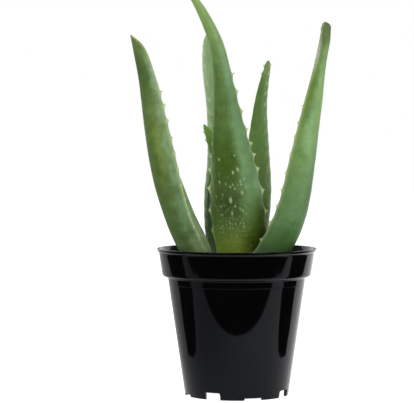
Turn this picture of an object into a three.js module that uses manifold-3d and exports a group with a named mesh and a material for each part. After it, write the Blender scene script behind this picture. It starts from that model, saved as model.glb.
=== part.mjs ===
// Potted aloe: a small aloe with six toothed leaves in a black nursery pot.
// Millimetres, +Z up, and the viewer stands at -Y. The origin lies on the ground,
// under the middle of the plant's bounding box.

import * as THREE from "three";
import { mergeVertices } from "three/addons/utils/BufferGeometryUtils.js";
import Module from "manifold-3d";

const wasm = await Module();
wasm.setup();

// Gap between pieces that touch on the real plant.
const GAP = 0.3;

// Colour and roughness of each surface; the leaves have a colour each.
const POT_FINISH = { color: "#0b0b0d", roughness: 0.3 };
const SOIL_FINISH = { color: "#3a2c22", roughness: 0.95 };
const STEM_FINISH = { color: "#a8a27a", roughness: 0.8 };
const LEAF_ROUGHNESS = 0.55;

// Pot: a 6-inch nursery pot with a collar, a rounded shoulder under it and a thin
// flared lip.
const POT_HEIGHT = 140;
const LIP_RADIUS = 76.2;
const LIP_DEPTH = 3;
const LIP_WIDTH = 2;
const LIP_ROUNDING = 0.5;
const COLLAR_TOP_RADIUS = 74.4;
const COLLAR_FOOT_RADIUS = 71;
const COLLAR_FOOT_HEIGHT = 115;
const SHOULDER_HEIGHT = 112;
const SHOULDER_ROUNDING = 1.4;
const BODY_TOP_RADIUS = 65.8;
const BODY_FOOT_RADIUS = 49.4;
const POT_WALL = 1.3;
const FLOOR_UNDERSIDE = 5.6;
const FLOOR_THICKNESS = 1.6;
const FLOOR_CORNER = 1.5;
const FOOT_RING_WIDTH = 2.4;
const POT_SIDES = 60;

// Notches in the foot ring, as angles round the pot from the viewer's side.
const DEEP_NOTCH = { first: 62, width: 15.8, height: 5.3, corner: 1.6 };
const SHALLOW_NOTCH = { first: 17.5, width: 17.2, height: 2.1, corner: 1 };
const NOTCHES_PER_KIND = 4;

// Drain holes: one in the middle of the floor, and one inside each deep notch.
const DRAIN_HOLE_RADIUS = 4.5;
const DRAIN_HOLE_REACH = 36;
const DRAIN_HOLE_SIDES = 20;

// Potting mix: flat round the leaves, and crumbly in the rings towards the wall.
const SOIL_HEIGHT = 120;
const SOIL_FLAT_RADIUS = 47;
const SOIL_CRUMBLY_RINGS = [62, 55];
const SOIL_BUMP = 1.1;
const SOIL_BUMP_FADE = 8;
const SOIL_WAVES = { alongX: 0.31, alongY: 0.27, slanted: 0.17, slantedShare: 0.6 };
const SOIL_SIDES = 48;

// Stem: a short stump in the mix that carries the leaf bases. Its outline gives shares
// of the top radius and of the length, from the foot up.
const STEM_TOP_RADIUS = 22;
const STEM_LENGTH = 46;
const STEM_OUTLINE = [
  [0.25, 0],
  [0.41, 0.1],
  [0.5, 0.55],
  [0.9, 0.83],
  [1, 0.93],
];
const STEM_SIDES = 24;

// Leaves. A section is a crescent: a hollow upper face and a full underside.
const LEAF_FOOT_HEIGHT = SOIL_HEIGHT + GAP;
const EDGE_HALF_THICKNESS = 0.5;
const UPPER_SPOTS = [1, 0.4, -0.4, -1];
const UNDER_SPOTS = [-1, -0.75, -0.25, 0.25, 0.75, 1];
const TIP_STEPS = [0.45, 0.75, 0.93];
const LONGEST_STEP = 0.05;
const SCALLOP_DEPTH = 0.7;
const TOOTH = { length: 2.3, base: 4.4, lean: 1.1, fullOnHalfWidth: 9, smallest: 0.45 };

// Each leaf's stations give the middle between its edges (x, y, z), its width and
// the direction its underside looks to (0 = right, 270 = the viewer). Belly and
// hollow are the depths of the underside and of the upper face, as shares of the
// width at the leaf's foot, middle and tip. Teeth stand in pairs, one on each edge, at
// the given heights.
const LEAVES = [
  {
    name: "leaf_front",
    colour: "#5f7f45",
    stations: [
      [2, -13, 116, 38, 268],
      [3.4, -18, 145, 47.3, 268],
      [0.1, -24, 180, 50, 268],
      [-4.1, -31, 220, 41.2, 267],
      [-9.2, -38, 265, 26.4, 266],
      [-14.4, -44, 305, 17, 264],
      [-20.8, -48, 335, 12.4, 262],
      [-34.8, -52, 365, 7.8, 262],
      [-50.4, -54, 387, 2, 262],
    ],
    belly: [0.32, 0.36, 0.42],
    hollow: [0.1, 0.08, 0.05],
    tipStart: 0.95,
    toothHeights: [129, 141, 155.5, 173, 193.5, 214, 227.5, 238, 251.5, 268.5, 287, 303.5],
  },
  {
    name: "leaf_left",
    colour: "#6b8a58",
    stations: [
      [-18, -13, 116, 34, 174],
      [-30, -16, 145, 42.7, 173],
      [-43.6, -18.5, 175, 45.7, 175.5],
      [-56.7, -22, 215, 45.8, 181],
      [-71.7, -26, 260, 33.6, 200.5],
      [-82.4, -30.5, 300, 21.3, 216.5],
      [-91, -33.5, 328, 14.5, 218],
      [-100.5, -36, 343, 2, 210],
    ],
    belly: [0.6, 0.5, 0.42],
    hollow: [0.24, 0.12, 0.04],
    tipStart: 0.9,
    toothHeights: [129.5, 141.5, 152.5, 164.5, 176.5, 190, 203.5, 217.5, 231.5, 244.5, 260.5, 274.5, 287.5],
  },
  {
    name: "leaf_right",
    colour: "#64874f",
    stations: [
      [11, -21, 105, 38, 296],
      [36.4, -26, 145, 38, 306],
      [50.4, -30, 180, 37.4, 315],
      [57.8, -35, 225, 34.6, 327],
      [66.9, -41, 270, 24.2, 324],
      [75.1, -47, 315, 15.8, 333],
      [79.5, -51, 338, 13.3, 330],
      [80.5, -53, 352.5, 10, 332],
    ],
    belly: [0.4, 0.44, 0.46],
    hollow: [0.14, 0.08, 0.04],
    tipStart: 0.95,
    toothHeights: [129, 144, 162.5, 179.5, 196.5, 213, 229.5, 246, 259, 274.5],
  },
  {
    name: "leaf_back_left",
    colour: "#6f8f60",
    stations: [
      [-7, 19, 116, 32, 138],
      [-14.6, 23, 145, 38, 141],
      [-16.6, 28, 185, 39, 144],
      [-15.3, 33, 225, 33.9, 150],
      [-17.8, 39, 270, 28, 150],
      [-25, 46, 315, 20, 151],
      [-28, 50, 346, 9, 145],
    ],
    belly: [0.32, 0.34, 0.4],
    hollow: [0.12, 0.14, 0.1],
    tipStart: 0.93,
    toothHeights: [
      133, 147.5, 160, 170.5, 181.5, 195.5, 210.5, 226, 240.5, 255.5, 268, 281.5, 297, 313, 326, 336,
    ],
  },
  {
    name: "leaf_back_right",
    colour: "#55743f",
    stations: [
      [12, 8, 116, 33, 40],
      [15.3, 13, 150, 39, 31],
      [19.4, 19, 190, 38, 29.6],
      [19.6, 25, 235, 31.4, 30.8],
      [22.6, 31, 280, 17.7, 28.4],
      [31.2, 37, 320, 6.4, 35],
    ],
    belly: [0.32, 0.34, 0.4],
    hollow: [0.12, 0.14, 0.1],
    tipStart: 0.93,
    toothHeights: [130, 147, 162.5, 177.5, 195, 211, 225.5, 237, 248.5, 261, 276, 287, 297, 305.5, 312],
  },
  {
    name: "leaf_inner",
    colour: "#6f9048",
    stations: [
      [0, -2, 116, 15, 125],
      [-2, -2, 150, 20, 125],
      [-6, -1, 185, 21, 125],
      [-13, 0, 215, 19, 126],
      [-21, 1, 238, 16, 128],
      [-31.5, 2, 258, 6, 130],
    ],
    belly: [0.32, 0.3, 0.34],
    hollow: [0.08, 0.08, 0.04],
    tipStart: 0.85,
    toothHeights: [134, 147, 159, 172.5, 186.5, 200.5, 213, 224.5, 235.5, 245, 252],
  },
];

// ---- solids ----

function toSolid(geometry) {
  geometry.deleteAttribute("normal");
  geometry.deleteAttribute("uv");
  const merged = mergeVertices(geometry, 1e-4);
  const vertProperties = new Float32Array(merged.attributes.position.array);
  const triVerts = new Uint32Array(merged.index.array);
  return new wasm.Manifold(new wasm.Mesh({ numProp: 3, vertProperties, triVerts }));
}

function toGeometry(solid) {
  const { vertProperties, triVerts } = solid.getMesh();
  const geometry = new THREE.BufferGeometry();
  geometry.setAttribute("position", new THREE.BufferAttribute(vertProperties, 3));
  geometry.setIndex(new THREE.BufferAttribute(triVerts, 1));
  geometry.computeVertexNormals();
  return geometry;
}

function asMesh(name, solid, finish) {
  const material = new THREE.MeshStandardMaterial({ ...finish, metalness: 0 });
  const mesh = new THREE.Mesh(toGeometry(solid), material);
  mesh.name = name;
  return mesh;
}

function turned(profile, sides) {
  const points = profile.map(([radius, height]) => new THREE.Vector2(radius, height));
  return new THREE.LatheGeometry(points, sides).rotateX(Math.PI / 2);
}

// ---- pot ----

function bodyRadius(height) {
  const share = height / SHOULDER_HEIGHT;
  return BODY_FOOT_RADIUS + share * (BODY_TOP_RADIUS - BODY_FOOT_RADIUS);
}

function innerRadius(height) {
  if (height <= SHOULDER_HEIGHT) {
    return bodyRadius(height) - POT_WALL;
  }
  const collarTop = POT_HEIGHT - LIP_DEPTH;
  const share = (height - COLLAR_FOOT_HEIGHT) / (collarTop - COLLAR_FOOT_HEIGHT);
  return COLLAR_FOOT_RADIUS + share * (COLLAR_TOP_RADIUS - COLLAR_FOOT_RADIUS) - POT_WALL;
}

function potProfile() {
  const floorTop = FLOOR_UNDERSIDE + FLOOR_THICKNESS;
  const collarTop = POT_HEIGHT - LIP_DEPTH;
  const ledge = COLLAR_FOOT_HEIGHT + POT_WALL;
  return [
    [0, FLOOR_UNDERSIDE],
    [bodyRadius(0) - FOOT_RING_WIDTH, FLOOR_UNDERSIDE],
    [bodyRadius(0) - FOOT_RING_WIDTH, 0],
    [bodyRadius(0), 0],
    [bodyRadius(SHOULDER_HEIGHT / 2), SHOULDER_HEIGHT / 2],
    [BODY_TOP_RADIUS, SHOULDER_HEIGHT],
    [BODY_TOP_RADIUS + SHOULDER_ROUNDING, SHOULDER_HEIGHT + SHOULDER_ROUNDING / 2],
    [COLLAR_FOOT_RADIUS - SHOULDER_ROUNDING, SHOULDER_HEIGHT + SHOULDER_ROUNDING],
    [COLLAR_FOOT_RADIUS, COLLAR_FOOT_HEIGHT],
    [COLLAR_TOP_RADIUS, collarTop - LIP_ROUNDING],
    [LIP_RADIUS - LIP_ROUNDING, collarTop + LIP_ROUNDING],
    [LIP_RADIUS, POT_HEIGHT - LIP_ROUNDING],
    [LIP_RADIUS - LIP_ROUNDING, POT_HEIGHT],
    [LIP_RADIUS - LIP_WIDTH, POT_HEIGHT],
    [innerRadius(collarTop), collarTop],
    [innerRadius(ledge), ledge],
    [innerRadius(SHOULDER_HEIGHT), SHOULDER_HEIGHT],
    [innerRadius(floorTop + FLOOR_CORNER), floorTop + FLOOR_CORNER],
    [innerRadius(floorTop) - FLOOR_CORNER, floorTop],
    [0, floorTop],
  ];
}

// A cutter through the foot ring on the viewer's side, from below up to the notch's top.
function notchCutter({ width, height, corner }) {
  const half = width / 2;
  const below = 5;
  const spare = 4;
  const outline = new THREE.Shape([
    new THREE.Vector2(-half, -below),
    new THREE.Vector2(half, -below),
    new THREE.Vector2(half, height - corner),
    new THREE.Vector2(half - corner, height),
    new THREE.Vector2(corner - half, height),
    new THREE.Vector2(-half, height - corner),
  ]);
  const depth = FOOT_RING_WIDTH + 2 * spare;
  const geometry = new THREE.ExtrudeGeometry(outline, { depth, bevelEnabled: false });
  const innerEnd = BODY_FOOT_RADIUS - FOOT_RING_WIDTH - spare;
  return geometry.rotateX(Math.PI / 2).translate(0, -innerEnd, 0);
}

function drainHole(distance) {
  const radius = DRAIN_HOLE_RADIUS;
  const height = 10 * FLOOR_THICKNESS;
  const hole = new THREE.CylinderGeometry(radius, radius, height, DRAIN_HOLE_SIDES);
  return hole.rotateX(Math.PI / 2).translate(0, -distance, FLOOR_UNDERSIDE);
}

function makePot() {
  let pot = toSolid(turned(potProfile(), POT_SIDES)).subtract(toSolid(drainHole(0)));
  for (let index = 0; index < NOTCHES_PER_KIND; index += 1) {
    const quarter = (index * 360) / NOTCHES_PER_KIND;
    const deep = THREE.MathUtils.degToRad(DEEP_NOTCH.first + quarter);
    const shallow = THREE.MathUtils.degToRad(SHALLOW_NOTCH.first + quarter);
    pot = pot.subtract(toSolid(notchCutter(DEEP_NOTCH).rotateZ(deep)));
    pot = pot.subtract(toSolid(notchCutter(SHALLOW_NOTCH).rotateZ(shallow)));
    pot = pot.subtract(toSolid(drainHole(DRAIN_HOLE_REACH).rotateZ(deep)));
  }
  return asMesh("pot", pot, POT_FINISH);
}

// ---- stem and potting mix ----

// The stem's outline, widened by a margin. The widened one also reaches above the mix.
function stemProfile(margin) {
  const foot = SOIL_HEIGHT - STEM_LENGTH - margin;
  const top = SOIL_HEIGHT + 10 * margin;
  const side = STEM_OUTLINE.map(([radius, rise]) => [
    STEM_TOP_RADIUS * radius + margin,
    foot + STEM_LENGTH * rise,
  ]);
  return [[0, foot], ...side, [STEM_TOP_RADIUS + margin, top], [0, top]];
}

function makeStem() {
  return asMesh("stem", toSolid(turned(stemProfile(0), STEM_SIDES)), STEM_FINISH);
}

function soilWave(x, y) {
  const { alongX, alongY, slanted, slantedShare } = SOIL_WAVES;
  const crossed = Math.sin(alongX * x + 1) * Math.cos(alongY * y);
  return crossed + slantedShare * Math.sin(slanted * (x + y));
}

// Raises and lowers the points of the top that lie outside the flat part.
function crumbleTop(geometry) {
  const place = geometry.attributes.position;
  const fullRadius = SOIL_FLAT_RADIUS + SOIL_BUMP_FADE;
  for (let index = 0; index < place.count; index += 1) {
    const x = place.getX(index);
    const y = place.getY(index);
    const z = place.getZ(index);
    if (z >= SOIL_HEIGHT) {
      const share = THREE.MathUtils.smoothstep(Math.hypot(x, y), SOIL_FLAT_RADIUS, fullRadius);
      place.setZ(index, z + SOIL_BUMP * share * soilWave(x, y));
    }
  }
  return geometry;
}

// The mix fills the pot, with a gap to the floor, the wall and the ledge in the wall.
function soilProfile() {
  const floor = FLOOR_UNDERSIDE + FLOOR_THICKNESS + GAP;
  const ledge = COLLAR_FOOT_HEIGHT + POT_WALL + 2 * GAP;
  const rings = [...SOIL_CRUMBLY_RINGS, SOIL_FLAT_RADIUS];
  return [
    [0, floor],
    [innerRadius(floor) - FLOOR_CORNER - 2 * GAP, floor],
    [innerRadius(floor + FLOOR_CORNER) - 2 * GAP, floor + FLOOR_CORNER],
    [innerRadius(SHOULDER_HEIGHT) - GAP, SHOULDER_HEIGHT + GAP],
    [innerRadius(ledge) - 2 * GAP, ledge],
    [innerRadius(SOIL_HEIGHT) - 2 * GAP, SOIL_HEIGHT - 1],
    [innerRadius(SOIL_HEIGHT) - 1, SOIL_HEIGHT],
    ...rings.map((radius) => [radius, SOIL_HEIGHT]),
    [0, SOIL_HEIGHT],
  ];
}

function makeSoil() {
  const block = toSolid(crumbleTop(turned(soilProfile(), SOIL_SIDES)));
  const soil = block.subtract(toSolid(turned(stemProfile(GAP), STEM_SIDES)));
  return asMesh("soil", soil, SOIL_FINISH);
}

// ---- leaves ----

// A smooth curve through three values, at the foot, middle and tip of a leaf.
function blend([foot, middle, tip], t) {
  const curve = new THREE.SplineCurve([
    new THREE.Vector2(0, foot),
    new THREE.Vector2(0.5, middle),
    new THREE.Vector2(1, tip),
  ]);
  return curve.getPoint(t).y;
}

class Leaf {
  constructor(plan) {
    this.plan = plan;
    const middles = plan.stations.map(([x, y, z]) => new THREE.Vector3(x, y, z));
    const forms = plan.stations.map(([, , , width, facing]) => new THREE.Vector3(width, facing, 0));
    this.spine = new THREE.CatmullRomCurve3(middles, false, "catmullrom", 0.5);
    this.form = new THREE.CatmullRomCurve3(forms, false, "catmullrom", 0.5);
    this.toothPlaces = plan.toothHeights.map((height) => this.placeAt(height));
  }

  // The spine's parameter at a height: the spine always climbs, so halving finds it.
  placeAt(height) {
    const halvings = 30;
    let low = 0;
    let high = 1;
    for (let step = 0; step < halvings; step += 1) {
      const middle = (low + high) / 2;
      if (this.spine.getPoint(middle).z < height) {
        low = middle;
      } else {
        high = middle;
      }
    }
    return low;
  }

  // 1 to the start of the tip, then down to 0 along a quarter ellipse.
  tipShare(t) {
    const { tipStart } = this.plan;
    const past = Math.max(0, (t - tipStart) / (1 - tipStart));
    return Math.sqrt(Math.max(0, 1 - past * past));
  }

  // Counts the teeth up to t, with the share of the way to the next.
  toothCount(t) {
    const places = this.toothPlaces;
    const last = places.length - 1;
    const passed = places.filter((place) => place <= t).length - 1;
    const index = Math.min(Math.max(passed, 0), last - 1);
    return index + (t - places[index]) / (places[index + 1] - places[index]);
  }

  // How far the edges draw in between two teeth.
  scallop(t) {
    if (t > this.toothPlaces.at(-1)) {
      return 0;
    }
    return (SCALLOP_DEPTH * (1 - Math.cos(2 * Math.PI * this.toothCount(t)))) / 2;
  }

  // Local frame and sizes at t: along, across (to the first edge) and inward.
  section(t) {
    const { x: width, y: facing } = this.form.getPoint(t);
    const angle = THREE.MathUtils.degToRad(facing);
    const along = this.spine.getTangent(t);
    const across = new THREE.Vector3(-Math.sin(angle), Math.cos(angle), 0);
    across.addScaledVector(along, -across.dot(along)).normalize();
    const inward = new THREE.Vector3().crossVectors(along, across);
    const full = width * this.tipShare(t);
    return {
      middle: this.spine.getPoint(t),
      along,
      across,
      inward,
      halfWidth: full / 2 - this.scallop(t) * this.tipShare(t),
      belly: full * blend(this.plan.belly, t),
      hollow: full * blend(this.plan.hollow, t),
    };
  }

  pointOn(section, spot, depth) {
    return section.middle
      .clone()
      .addScaledVector(section.across, spot * section.halfWidth)
      .addScaledVector(section.inward, depth);
  }

  ring(t) {
    const section = this.section(t);
    const upper = UPPER_SPOTS.map((spot) => {
      const depth = EDGE_HALF_THICKNESS - section.hollow * (1 - spot * spot);
      return this.pointOn(section, spot, depth);
    });
    const under = UNDER_SPOTS.map((spot) => {
      const depth = -EDGE_HALF_THICKNESS - section.belly * (1 - spot * spot) ** 0.75;
      return this.pointOn(section, spot, depth);
    });
    return [...upper, ...under];
  }

  toothSize(section) {
    return Math.min(1, Math.max(TOOTH.smallest, section.halfWidth / TOOTH.fullOnHalfWidth));
  }

  // The spine's parameter for half the base of the tooth at t.
  halfToothStep(t) {
    const step = 0.01;
    const pace = this.spine.getPoint(t + step).distanceTo(this.spine.getPoint(t - step)) / (2 * step);
    return (TOOTH.base * this.toothSize(this.section(t))) / 2 / pace;
  }

  toothPoint(t, side) {
    const section = this.section(t);
    const size = this.toothSize(section);
    return this.pointOn(section, side, 0)
      .addScaledVector(section.across, side * TOOTH.length * size)
      .addScaledVector(section.along, TOOTH.lean * size);
  }

  // Ring places: on both sides of every pair of teeth, half-way to the next pair, in
  // even steps along the smooth end, and closer together at the tip. A level with a
  // tooth spans the tooth's base.
  levels() {
    const { tipStart } = this.plan;
    const levels = [{ place: 0 }];
    this.toothPlaces.forEach((place, index) => {
      const half = this.halfToothStep(place);
      const next = this.toothPlaces[index + 1];
      levels.push({ place: place - half, tooth: place });
      levels.push({ place: place + half });
      if (next !== undefined) {
        levels.push({ place: (place + next) / 2 });
      }
    });
    const smoothStart = levels.at(-1).place;
    const steps = Math.ceil((tipStart - smoothStart) / LONGEST_STEP);
    for (let step = 1; step <= steps; step += 1) {
      levels.push({ place: smoothStart + (step / steps) * (tipStart - smoothStart) });
    }
    TIP_STEPS.forEach((share) => levels.push({ place: tipStart + share * (1 - tipStart) }));
    return levels;
  }

  blade() {
    const levels = this.levels();
    const rings = levels.map(({ place }) => this.ring(place));
    const around = rings[0].length;
    const edges = new Map([
      [UPPER_SPOTS.length - 1, -1],
      [around - 1, 1],
    ]);
    const points = [...rings.flat(), this.spine.getPoint(0), this.spine.getPoint(1)];
    const footIndex = points.length - 2;
    const tipIndex = points.length - 1;
    const faces = [];
    for (let spot = 0; spot < around; spot += 1) {
      const next = (spot + 1) % around;
      faces.push([footIndex, next, spot]);
      levels.slice(0, -1).forEach(({ tooth }, level) => {
        const low = level * around;
        const corners = [low + spot, low + next, low + around + next, low + around + spot];
        if (tooth !== undefined && edges.has(spot)) {
          points.push(this.toothPoint(tooth, edges.get(spot)));
          faces.push(...fan(corners, points.length - 1));
        } else {
          faces.push([corners[0], corners[1], corners[2]], [corners[0], corners[2], corners[3]]);
        }
      });
      const top = (rings.length - 1) * around;
      faces.push([tipIndex, top + spot, top + next]);
    }
    return closedGeometry(points, faces);
  }

  solid() {
    return toSolid(this.blade()).subtract(groundBlock());
  }
}

// Triangles from each side of an outline to one more point.
function fan(corners, point) {
  return corners.map((corner, index) => [corner, corners[(index + 1) % corners.length], point]);
}

function closedGeometry(points, faces) {
  const geometry = new THREE.BufferGeometry().setFromPoints(points);
  geometry.setIndex(faces.flat());
  return geometry;
}

// Everything under the leaves' cut feet.
function groundBlock() {
  const side = 400;
  const height = 60;
  const block = new THREE.BoxGeometry(side, side, height);
  return toSolid(block.translate(0, 0, LEAF_FOOT_HEIGHT - height / 2));
}

function makeLeaf(plan) {
  const finish = { color: plan.colour, roughness: LEAF_ROUGHNESS };
  return asMesh(plan.name, new Leaf(plan).solid(), finish);
}

// ---- the whole plant ----

function centreOnGround(group) {
  const middle = new THREE.Box3().setFromObject(group).getCenter(new THREE.Vector3());
  group.position.set(-middle.x, -middle.y, 0);
  group.updateMatrixWorld(true);
  return group;
}

const plant = new THREE.Group();
plant.add(makePot(), makeSoil(), makeStem());
LEAVES.forEach((plan) => plant.add(makeLeaf(plan)));

export default centreOnGround(plant);
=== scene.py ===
import math

import bpy
import numpy as np
from bpy.props import FloatProperty, FloatVectorProperty, IntProperty, PointerProperty
from bpy.types import Operator, Panel, PropertyGroup
from mathutils import Matrix, Vector, noise


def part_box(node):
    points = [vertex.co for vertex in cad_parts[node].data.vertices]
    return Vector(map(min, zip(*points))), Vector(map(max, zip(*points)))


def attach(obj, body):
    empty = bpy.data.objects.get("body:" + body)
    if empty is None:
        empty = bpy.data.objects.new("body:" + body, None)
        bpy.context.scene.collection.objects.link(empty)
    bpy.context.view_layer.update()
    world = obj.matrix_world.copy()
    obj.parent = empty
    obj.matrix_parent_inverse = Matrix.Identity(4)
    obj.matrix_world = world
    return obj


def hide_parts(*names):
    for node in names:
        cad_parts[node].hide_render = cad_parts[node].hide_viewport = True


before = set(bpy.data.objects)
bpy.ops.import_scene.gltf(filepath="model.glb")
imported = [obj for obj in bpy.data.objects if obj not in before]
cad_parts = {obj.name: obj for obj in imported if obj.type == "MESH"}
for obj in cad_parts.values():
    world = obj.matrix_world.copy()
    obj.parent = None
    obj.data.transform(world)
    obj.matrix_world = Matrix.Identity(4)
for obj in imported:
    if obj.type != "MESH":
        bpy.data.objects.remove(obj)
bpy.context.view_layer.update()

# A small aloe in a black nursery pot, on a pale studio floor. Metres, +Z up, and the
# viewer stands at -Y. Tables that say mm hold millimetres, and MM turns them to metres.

bl_info = {
    "name": "Potted aloe",
    "version": (1, 0, 0),
    "blender": (4, 5, 0),
    "location": "3D View > Sidebar > Aloe",
    "description": "Models a small aloe and its nursery pot round the CAD frame",
    "category": "Add Mesh",
}

MM = 0.001
# The foot of the pot's axis.
POT_LOW, POT_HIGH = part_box("pot")
AXIS = (POT_LOW + POT_HIGH) / 2
AXIS.z = 0
# Points closer than this are one point.
WELD = 0.001 * MM

# Pot, mm: the same outline as the CAD pot, but its deep notches are 1.5 mm taller, as they
# are seen, and its floor lies as much higher over them.
POT_HEIGHT = 140
LIP_RADIUS = 76.2
LIP_DEPTH = 3
LIP_WIDTH = 2
COLLAR_TOP_RADIUS = 74.4
COLLAR_FOOT_RADIUS = 71
COLLAR_FOOT_HEIGHT = 115
SHOULDER_HEIGHT = 112
SHOULDER_ROUNDING = 1.4
BODY_TOP_RADIUS = 65.8
BODY_FOOT_RADIUS = 49.4
POT_WALL = 1.3
FLOOR_UNDERSIDE = 7.1
FLOOR_THICKNESS = 1.6
FOOT_RING_WIDTH = 2.4
# Notches in the foot ring: the first one's direction in degrees, and its size.
DEEP_NOTCH = {"first": 62, "width": 15.8, "height": 6.8, "corner": 1.6}
SHALLOW_NOTCH = {"first": 17.5, "width": 17.2, "height": 2.1, "corner": 1.0}
NOTCHES_PER_KIND = 4
NOTCH_CORNER_STEPS = 5
BEAD_HALF_HEIGHT = 0.35
DRAIN_HOLE_RADIUS = 4.5
DRAIN_HOLE_REACH = 36
DRAIN_HOLE_SIDES = 40
# Rings that keep the bend of a corner off the long plain walls, mm from the bend.
HOLDING_RING = 0.8
# Rings above the foot, mm, that keep the notches' cuts off the tall wall.
RINGS_OVER_FOOT = [7, 12, 24]

# Potting mix and stem, mm. The stem's outline is in shares of its radius and its length,
# and both its ends have a small flat hub in the middle.
SOIL_HEIGHT = 120
SOIL_SIDES = 160
STEM_HOLE_FOOT = 110
STEM_TOP_RADIUS = 22
STEM_LENGTH = 46
STEM_OUTLINE = [(0.25, 0), (0.41, 0.1), (0.5, 0.55), (0.9, 0.83), (1, 0.93)]
STEM_ROUNDING = 1.5
STEM_HUB = 0.5
STEM_TOP_RINGS = 16
STEM_SIDES = 96
# Old leaf scars wind round the stem's top: their spacing and depth, how much the depth
# changes, and how fast they wind.
SCARS = {"spacing": 1.1, "depth": 0.5, "change": 0.4, "winding": 2.2}
# Room between pieces that lie against each other.
GAP = 0.3
# Mix: how wide its lumps and crumbs are, how high the crumbs are as a share of the lumps,
# and between which distances from the pot's axis the lumps rise.
LUMP_WIDTH = 16
CRUMB_WIDTH = 4
CRUMB_SHARE = 0.7
LUMPS_RISE = (24, 50)
# Grains on the mix: where they lie, from the pot's axis, then their sizes, how flat they
# are and the seed of each kind.
GRAINS_LIE = (24, 66)
BARK_BITS = {"sizes": (1.2, 4.5), "flatness": 0.4, "seed": 11}
PERLITE_GRAINS = {"sizes": (1.0, 2.8), "flatness": 0.8, "seed": 23}
# A point no more than this below the mix's top belongs to the top.
TOP_MARGIN = 0.1

# Sizes that the leaves share, mm. Teeth: how long a full one is, how far the last ones run
# out along the edge, how far they lean towards the tip, the half width of leaf from which
# on they are full, and the smallest they get, as a share of a full one.
LEAF_FOOT_HEIGHT = SOIL_HEIGHT + GAP
EDGE_HALF_THICKNESS = 0.5
SCALLOP_DEPTH = 0.7
TOOTH = {"length": 3.2, "run_out": 5, "lean": 1.1, "full_on": 9, "smallest": 0.45}
# How slender the teeth are: 0.9 leaves round bites between them, more makes them thorns.
BITE = 0.9

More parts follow.
